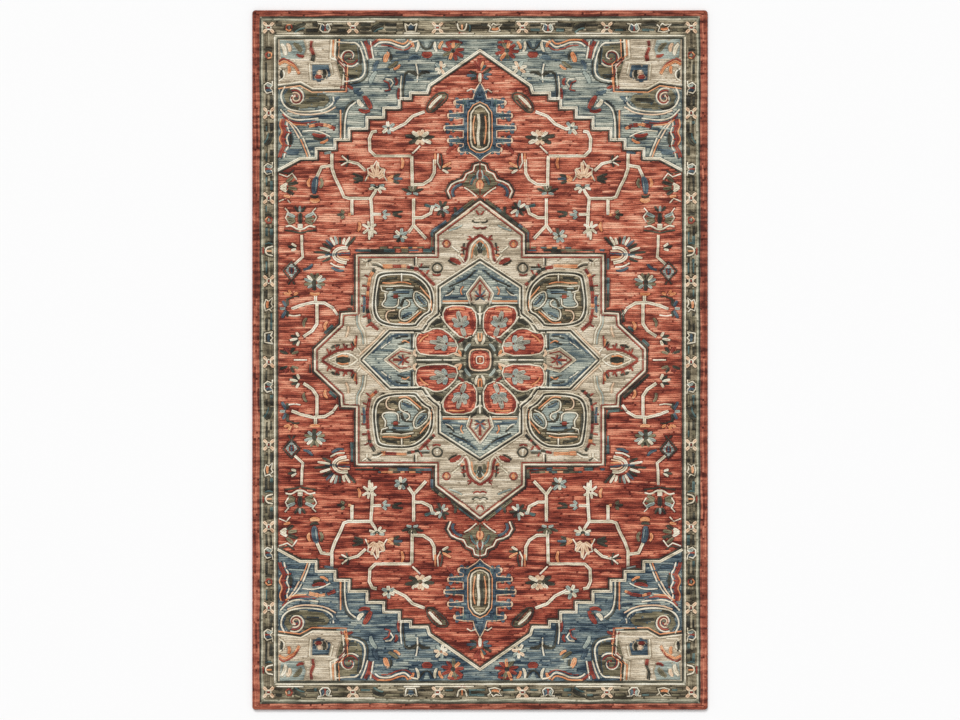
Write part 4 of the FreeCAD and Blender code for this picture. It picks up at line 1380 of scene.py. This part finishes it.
def star_quarter(hook):
    # spades at the tips
    hook.spikes(
        0, 212, (86, 40, "dark_red"), (50, 24, "navy"), (10, 18, "dark_red"), (320, 20, "navy"),
        width=8, near=2)
    hook.line("dark_red", 4, [(0, 268), (34, 224), (27, 196)], soft=False)
    hook.line("ivory", 5, [(0, 281), (45, 222), (34, 188)], soft=False)
    hook.line("dark_red", 4, [(306, 0), (266, 29), (232, 22)], soft=False)
    hook.spikes(256, 0, (4, 34, "dark_red"), (40, 22, "navy"), (80, 18, "dark_red"), (150, 20, "dark_red"),
                width=8, near=2)
    hook.line("ivory", 5, [(321, 0), (268, 41), (224, 29)], soft=False)
    # stripes in the arms
    hook.line("orange", 6, [(36, 197), (125, 196)], soft=False)
    hook.line("ivory", 5, [(40, 190), (125, 190)], soft=False)
    hook.line("orange", 5, [(56, 246), (66, 232), (60, 218)])
    hook.line("charcoal", 5, [(86, 240), (98, 226), (112, 222)])
    hook.line("ivory", 4, [(90, 232), (102, 218), (116, 214)])
    hook.leaf("navy", 9, [(100, 206), (112, 210), (124, 206)])
    hook.line("orange", 5, [(236, 56), (250, 66), (262, 60)])
    hook.line("charcoal", 5, [(242, 78), (264, 78), (282, 72)])
    hook.line("ivory", 4, [(300, 60), (316, 50), (330, 38)])
    hook.leaf("navy", 9, [(296, 74), (306, 66), (310, 52)])
    for yarn, points in [
            ("navy", [(8, 302), (40, 276), (80, 262)]), ("navy", [(50, 216), (84, 208), (120, 212)]),
            ("charcoal", [(14, 300), (48, 268), (104, 244)]), ("grey_blue", [(60, 258), (90, 246)]),
            ("navy", [(240, 84), (272, 86), (296, 80)]),
            ("charcoal", [(234, 70), (250, 58), (274, 52)]),
            ("navy", [(316, 66), (338, 44), (362, 22)])]:
        hook.leaf(yarn, 8, points)
    # outline
    hook.line("ivory", 7, STAR, soft=False)
    hook.line("charcoal", 5, [(0, 335), (139, 245), (139, 155), (170, 129), (191, 98), (302, 98), (398, 2)],
              soft=False)
    hook.line("ivory", 4, [(0, 342), (144, 249), (144, 158), (174, 133), (194, 103), (304, 103), (404, 2)],
              soft=False)


def rosette_quarter(hook):
    # centre flower
    hook.line("charcoal", 5, [(42, 0), (40, 30), (30, 40), (0, 42)])
    hook.line("peach", 6, [(36, 0), (34, 26), (26, 34), (0, 36)])
    hook.line("dark_red", 5, [(29, 0), (27, 20), (20, 27), (0, 29)])
    hook.line("ivory", 4, [(12, 0), (12, 8), (8, 12), (0, 12)])
    # petals: a jagged sage leaf in each, a darker ring, then the outline
    hook.leaf("charcoal", 5, [(64, 116), (68, 132), (72, 146)])
    hook.spikes(62, 112, (76, 52, "sage"), (112, 38, "sage"), (42, 40, "sage"), (146, 28, "grey_blue"),
                (14, 26, "grey_blue"), (250, 34, "sage"), width=17, near=4)
    hook.leaf("dark_red", 8, [(26, 104), (23, 130), (34, 158)])
    hook.leaf("orange", 8, [(50, 168), (76, 172), (104, 168)])
    hook.leaf("dark_red", 8, [(112, 124), (118, 144), (112, 164)])
    hook.leaf("charcoal", 5, [(114, 54), (130, 58), (146, 60)])
    hook.spikes(112, 54, (8, 56, "sage"), (36, 38, "sage"), (-22, 42, "sage"), (76, 28, "grey_blue"),
                (-64, 26, "grey_blue"), (188, 34, "sage"), width=17, near=4)
    hook.leaf("dark_red", 8, [(104, 82), (130, 94), (158, 96)])
    hook.leaf("orange", 8, [(172, 84), (192, 74), (202, 58)])
    hook.leaf("dark_red", 8, [(106, 26), (136, 21), (170, 24)])
    for petal in [[(14, 88), (12, 152), (34, 178), (110, 180), (126, 148), (106, 112), (56, 70)],
                  [(74, 54), (116, 98), (150, 106), (180, 90), (212, 86), (214, 36), (194, 18), (84, 16)]]:
        hook.line("ivory", 5, softened(beside(petal, 2, True), True, 1), closed=True, soft=False)
    # between the petals: stems, buds and dark leaves
    hook.line("ivory", 7, [(0, 118), (0, 152)], soft=False)
    hook.spikes(0, 150, (35, 18, "ivory"), (90, 30, "ivory"), width=8, near=2)
    hook.line("charcoal", 6, [(7, 112), (8, 150), (14, 178), (30, 190)])
    hook.line("ivory", 6, [(66, 0), (122, 0)], soft=False)
    hook.line("charcoal", 5, [(96, 6), (212, 6)], soft=False)
    hook.line("ivory", 5, [(128, 0), (212, 0)], soft=False)
    hook.leaf("charcoal", 11, [(24, 82), (34, 74), (38, 60)])
    hook.leaf("ivory", 9, [(14, 82), (14, 66), (6, 52)])
    hook.leaf("orange", 8, [(5, 90), (6, 74), (2, 62)])
    hook.leaf("charcoal", 11, [(24, 44), (36, 34), (44, 20)])
    hook.leaf("grey_blue", 10, [(32, 54), (42, 44), (50, 30)])
    hook.leaf("charcoal", 10, [(48, 60), (54, 50), (54, 38)])
    hook.spikes(60, 12, (60, 24, "orange"), (20, 28, "peach"), (100, 22, "charcoal"), width=9, near=2)
    hook.leaf("dark_red", 9, [(52, 76), (60, 66), (72, 58)])
    hook.leaf("charcoal", 12, [(128, 132), (144, 128), (158, 118)])
    hook.leaf("olive", 12, [(122, 120), (140, 114), (150, 112)])
    hook.line("ivory", 5, [(130, 146), (112, 118), (90, 98), (74, 84)])
    hook.line("ivory", 5, [(134, 140), (152, 142), (164, 126), (182, 118)])
    hook.line("charcoal", 6, [(188, 88), (206, 96), (222, 92)])
    hook.line("charcoal", 5, [(36, 186), (126, 186)], soft=False)
    hook.leaf("charcoal", 10, [(120, 184), (132, 170), (130, 150)])
    hook.line("ivory", 5, [(219, 84), (222, 60), (222, 40)])
    hook.line("charcoal", 6, [(228, 88), (228, 36)], soft=False)
    hook.leaf("peach", 9, [(216, 34), (222, 22), (212, 12)])


for hook in QUARTERS:
    star_quarter(hook)
    rosette_quarter(hook)
HALVES[0].dot("orange", 0, 0, 8)

# ------------------------------------------------------------------ motif pile
# Every motif is hooked from the same ten skeins. Each yarn makes two pieces,
# one for the head half of the rug and one for the foot half.
YARNS = {
    "ivory": ("ivory_wool", (190, 178, 150), (238, 226, 200), (252, 246, 228)),
    "charcoal": ("olive_wool", (36, 33, 28), (62, 60, 50), (100, 98, 82)),
    "orange": ("rust_wool", (190, 110, 68), (232, 158, 108), (244, 190, 146)),
    "dark_red": ("rust_wool", (92, 36, 30), (146, 62, 50), (184, 96, 76)),
    "navy": ("blue_wool", (40, 50, 60), (74, 92, 104), (122, 138, 142)),
    "grey_blue": ("blue_wool", (118, 130, 124), (164, 174, 164), (202, 208, 194)),
    "olive": ("olive_wool", (74, 68, 50), (122, 114, 88), (164, 154, 124)),
    "teal": ("blue_wool", (44, 62, 62), (78, 102, 100), (120, 142, 134)),
    "peach": ("beige_wool", (206, 164, 130), (238, 206, 172), (248, 226, 198)),
    "sage": ("sage_wool", (112, 108, 96), (168, 164, 148), (206, 202, 184)),
}
motif_wool = {}
for (yarn, end), strips in skeins.items():
    slot, *shades = YARNS[yarn]
    if yarn not in motif_wool:
        motif_wool[yarn] = wool(f"{yarn}_wool", [dye(*shade) for shade in shades], loop=MOTIF_LOOP * MM)
    tufted(f"{yarn}_motifs_{end}", strips, motif_wool[yarn], slot)


# ------------------------------------------------------------------ bands and border
# Four frames of pile inside the overcast edge: a rust band, a sage guard, the
# dark border and a second guard. Rows follow the edge they lie along.
def banded(name, node, shades, slot):
    """A mitred frame of pile. The long sides are hooked lengthwise."""
    frame_wool = wool(f"{name}_wool", [dye(*shade) for shade in shades])
    strips = []
    nodes = [f"{node}_{edge}" for edge in ("head", "foot", "left", "right")]
    for piece_node in nodes:
        along = "x" if piece_node.endswith(("head", "foot")) else "y"
        strips += fill(outlines_of(piece_node), along)
    tufted(name, strips, frame_wool, slot, *nodes)


RUST_SHADES = [(86, 38, 30), (162, 86, 66), (212, 136, 108)]
SAGE_SHADES = [(132, 130, 110), (184, 180, 156), (214, 208, 184)]
DARK_SHADES = [(58, 52, 40), (132, 120, 96), (190, 178, 150)]
banded("edge_band_tufts", "edge_band_pile", RUST_SHADES, "rust_wool")
banded("outer_guard_tufts", "outer_guard_pile", SAGE_SHADES, "sage_wool")
banded("border_tufts", "border_pile", DARK_SHADES, "olive_wool")
banded("inner_guard_tufts", "inner_guard_pile", SAGE_SHADES, "sage_wool")


# ------------------------------------------------------------------ grounds
# The plain areas between the motifs, filled in last, in rows across the rug.
def ground(name, nodes, wool_material, slot, **rows):
    """Fills whole CAD nodes as one area, so that no seam shows where two of them meet."""
    outlines = [outline for node in nodes for outline in outlines_of(node)]
    tufted(name, fill(outlines, **rows), wool_material, slot, *nodes)


CORNERS = ["head_right", "head_left", "foot_right", "foot_left"]
rust_ground = wool(
    "rust_ground",
    [dye(114, 50, 40), dye(203, 111, 85), dye(246, 182, 150)],
    [dye(92, 34, 28), dye(172, 82, 62), dye(232, 150, 118)])
blue_ground = wool(
    "blue_ground",
    [dye(68, 82, 88), dye(154, 161, 149), dye(210, 208, 190)],
    [dye(42, 58, 72), dye(108, 124, 128), dye(178, 182, 168)])
beige_ground = wool("beige_ground", [dye(164, 148, 124), dye(214, 198, 172), dye(238, 226, 204)])
petal_wool = wool("petal_wool", [dye(120, 46, 38), dye(212, 112, 86), dye(244, 176, 142)])

# The field is one cut-out cloth of pile, hooked in four bays.
field_strips = fill(outlines_of("field_pile"))
bays = {name: [] for name in CORNERS}
for strip in field_strips:
    x, y, z = strip[0][len(strip[0]) // 2]
    bays[f"{'head' if y > 0 else 'foot'}_{'right' if x > 0 else 'left'}"].append(strip)
for name, strips in bays.items():
    tufted(f"field_tufts_{name}", strips, rust_ground, "rust_wool")
tufted("field_bed", [], rust_ground, "rust_wool", "field_pile")

ground("corner_tufts_head", ["corner_ground_head_right", "corner_ground_head_left"], blue_ground, "blue_wool")
ground("corner_tufts_foot", ["corner_ground_foot_right", "corner_ground_foot_left"], blue_ground, "blue_wool")
BEIGE_PITCH = 6.0
quarters = [f"quarter_medallion_{name}" for name in CORNERS]
ground("quarter_medallion_tufts", quarters, beige_ground, "beige_wool", pitch=BEIGE_PITCH)
ground("medallion_tufts", ["medallion_ground"], beige_ground, "beige_wool", pitch=BEIGE_PITCH)
pendant_wool = wool("pendant_wool", [dye(40, 56, 72), dye(88, 110, 124), dye(164, 176, 168)])
ground("pendant_tufts", ["pendant_head", "pendant_foot"], pendant_wool, "blue_wool")

heart_wool = wool("heart_wool", [dye(64, 56, 42), dye(132, 118, 90), dye(190, 176, 144)])
ground("pendant_heart_tufts", ["pendant_heart_head", "pendant_heart_foot"], heart_wool, "olive_wool")
ground("cartouche_tufts", [f"cartouche_{name}" for name in CORNERS], heart_wool, "olive_wool")
ARMS = ["head", "foot", "left", "right"]
star_wool = wool("star_wool", [dye(92, 106, 108), dye(170, 176, 163), dye(216, 216, 198)])
ground("star_arm_tufts", [f"star_arm_{name}" for name in ARMS], star_wool, "blue_wool")
ground("star_spade_tufts", [f"star_spade_{name}" for name in ARMS], beige_ground, "beige_wool")
ground("rosette_petal_tufts", ["rosette_petals"], petal_wool, "rust_wool")
ground("rosette_heart_tufts", ["rosette_heart"], petal_wool, "rust_wool")
rosette_wool = wool("rosette_wool", [dye(74, 70, 58), dye(154, 146, 122), dye(212, 204, 178)])
ground("rosette_tufts", ["rosette_ground"], rosette_wool, "olive_wool")
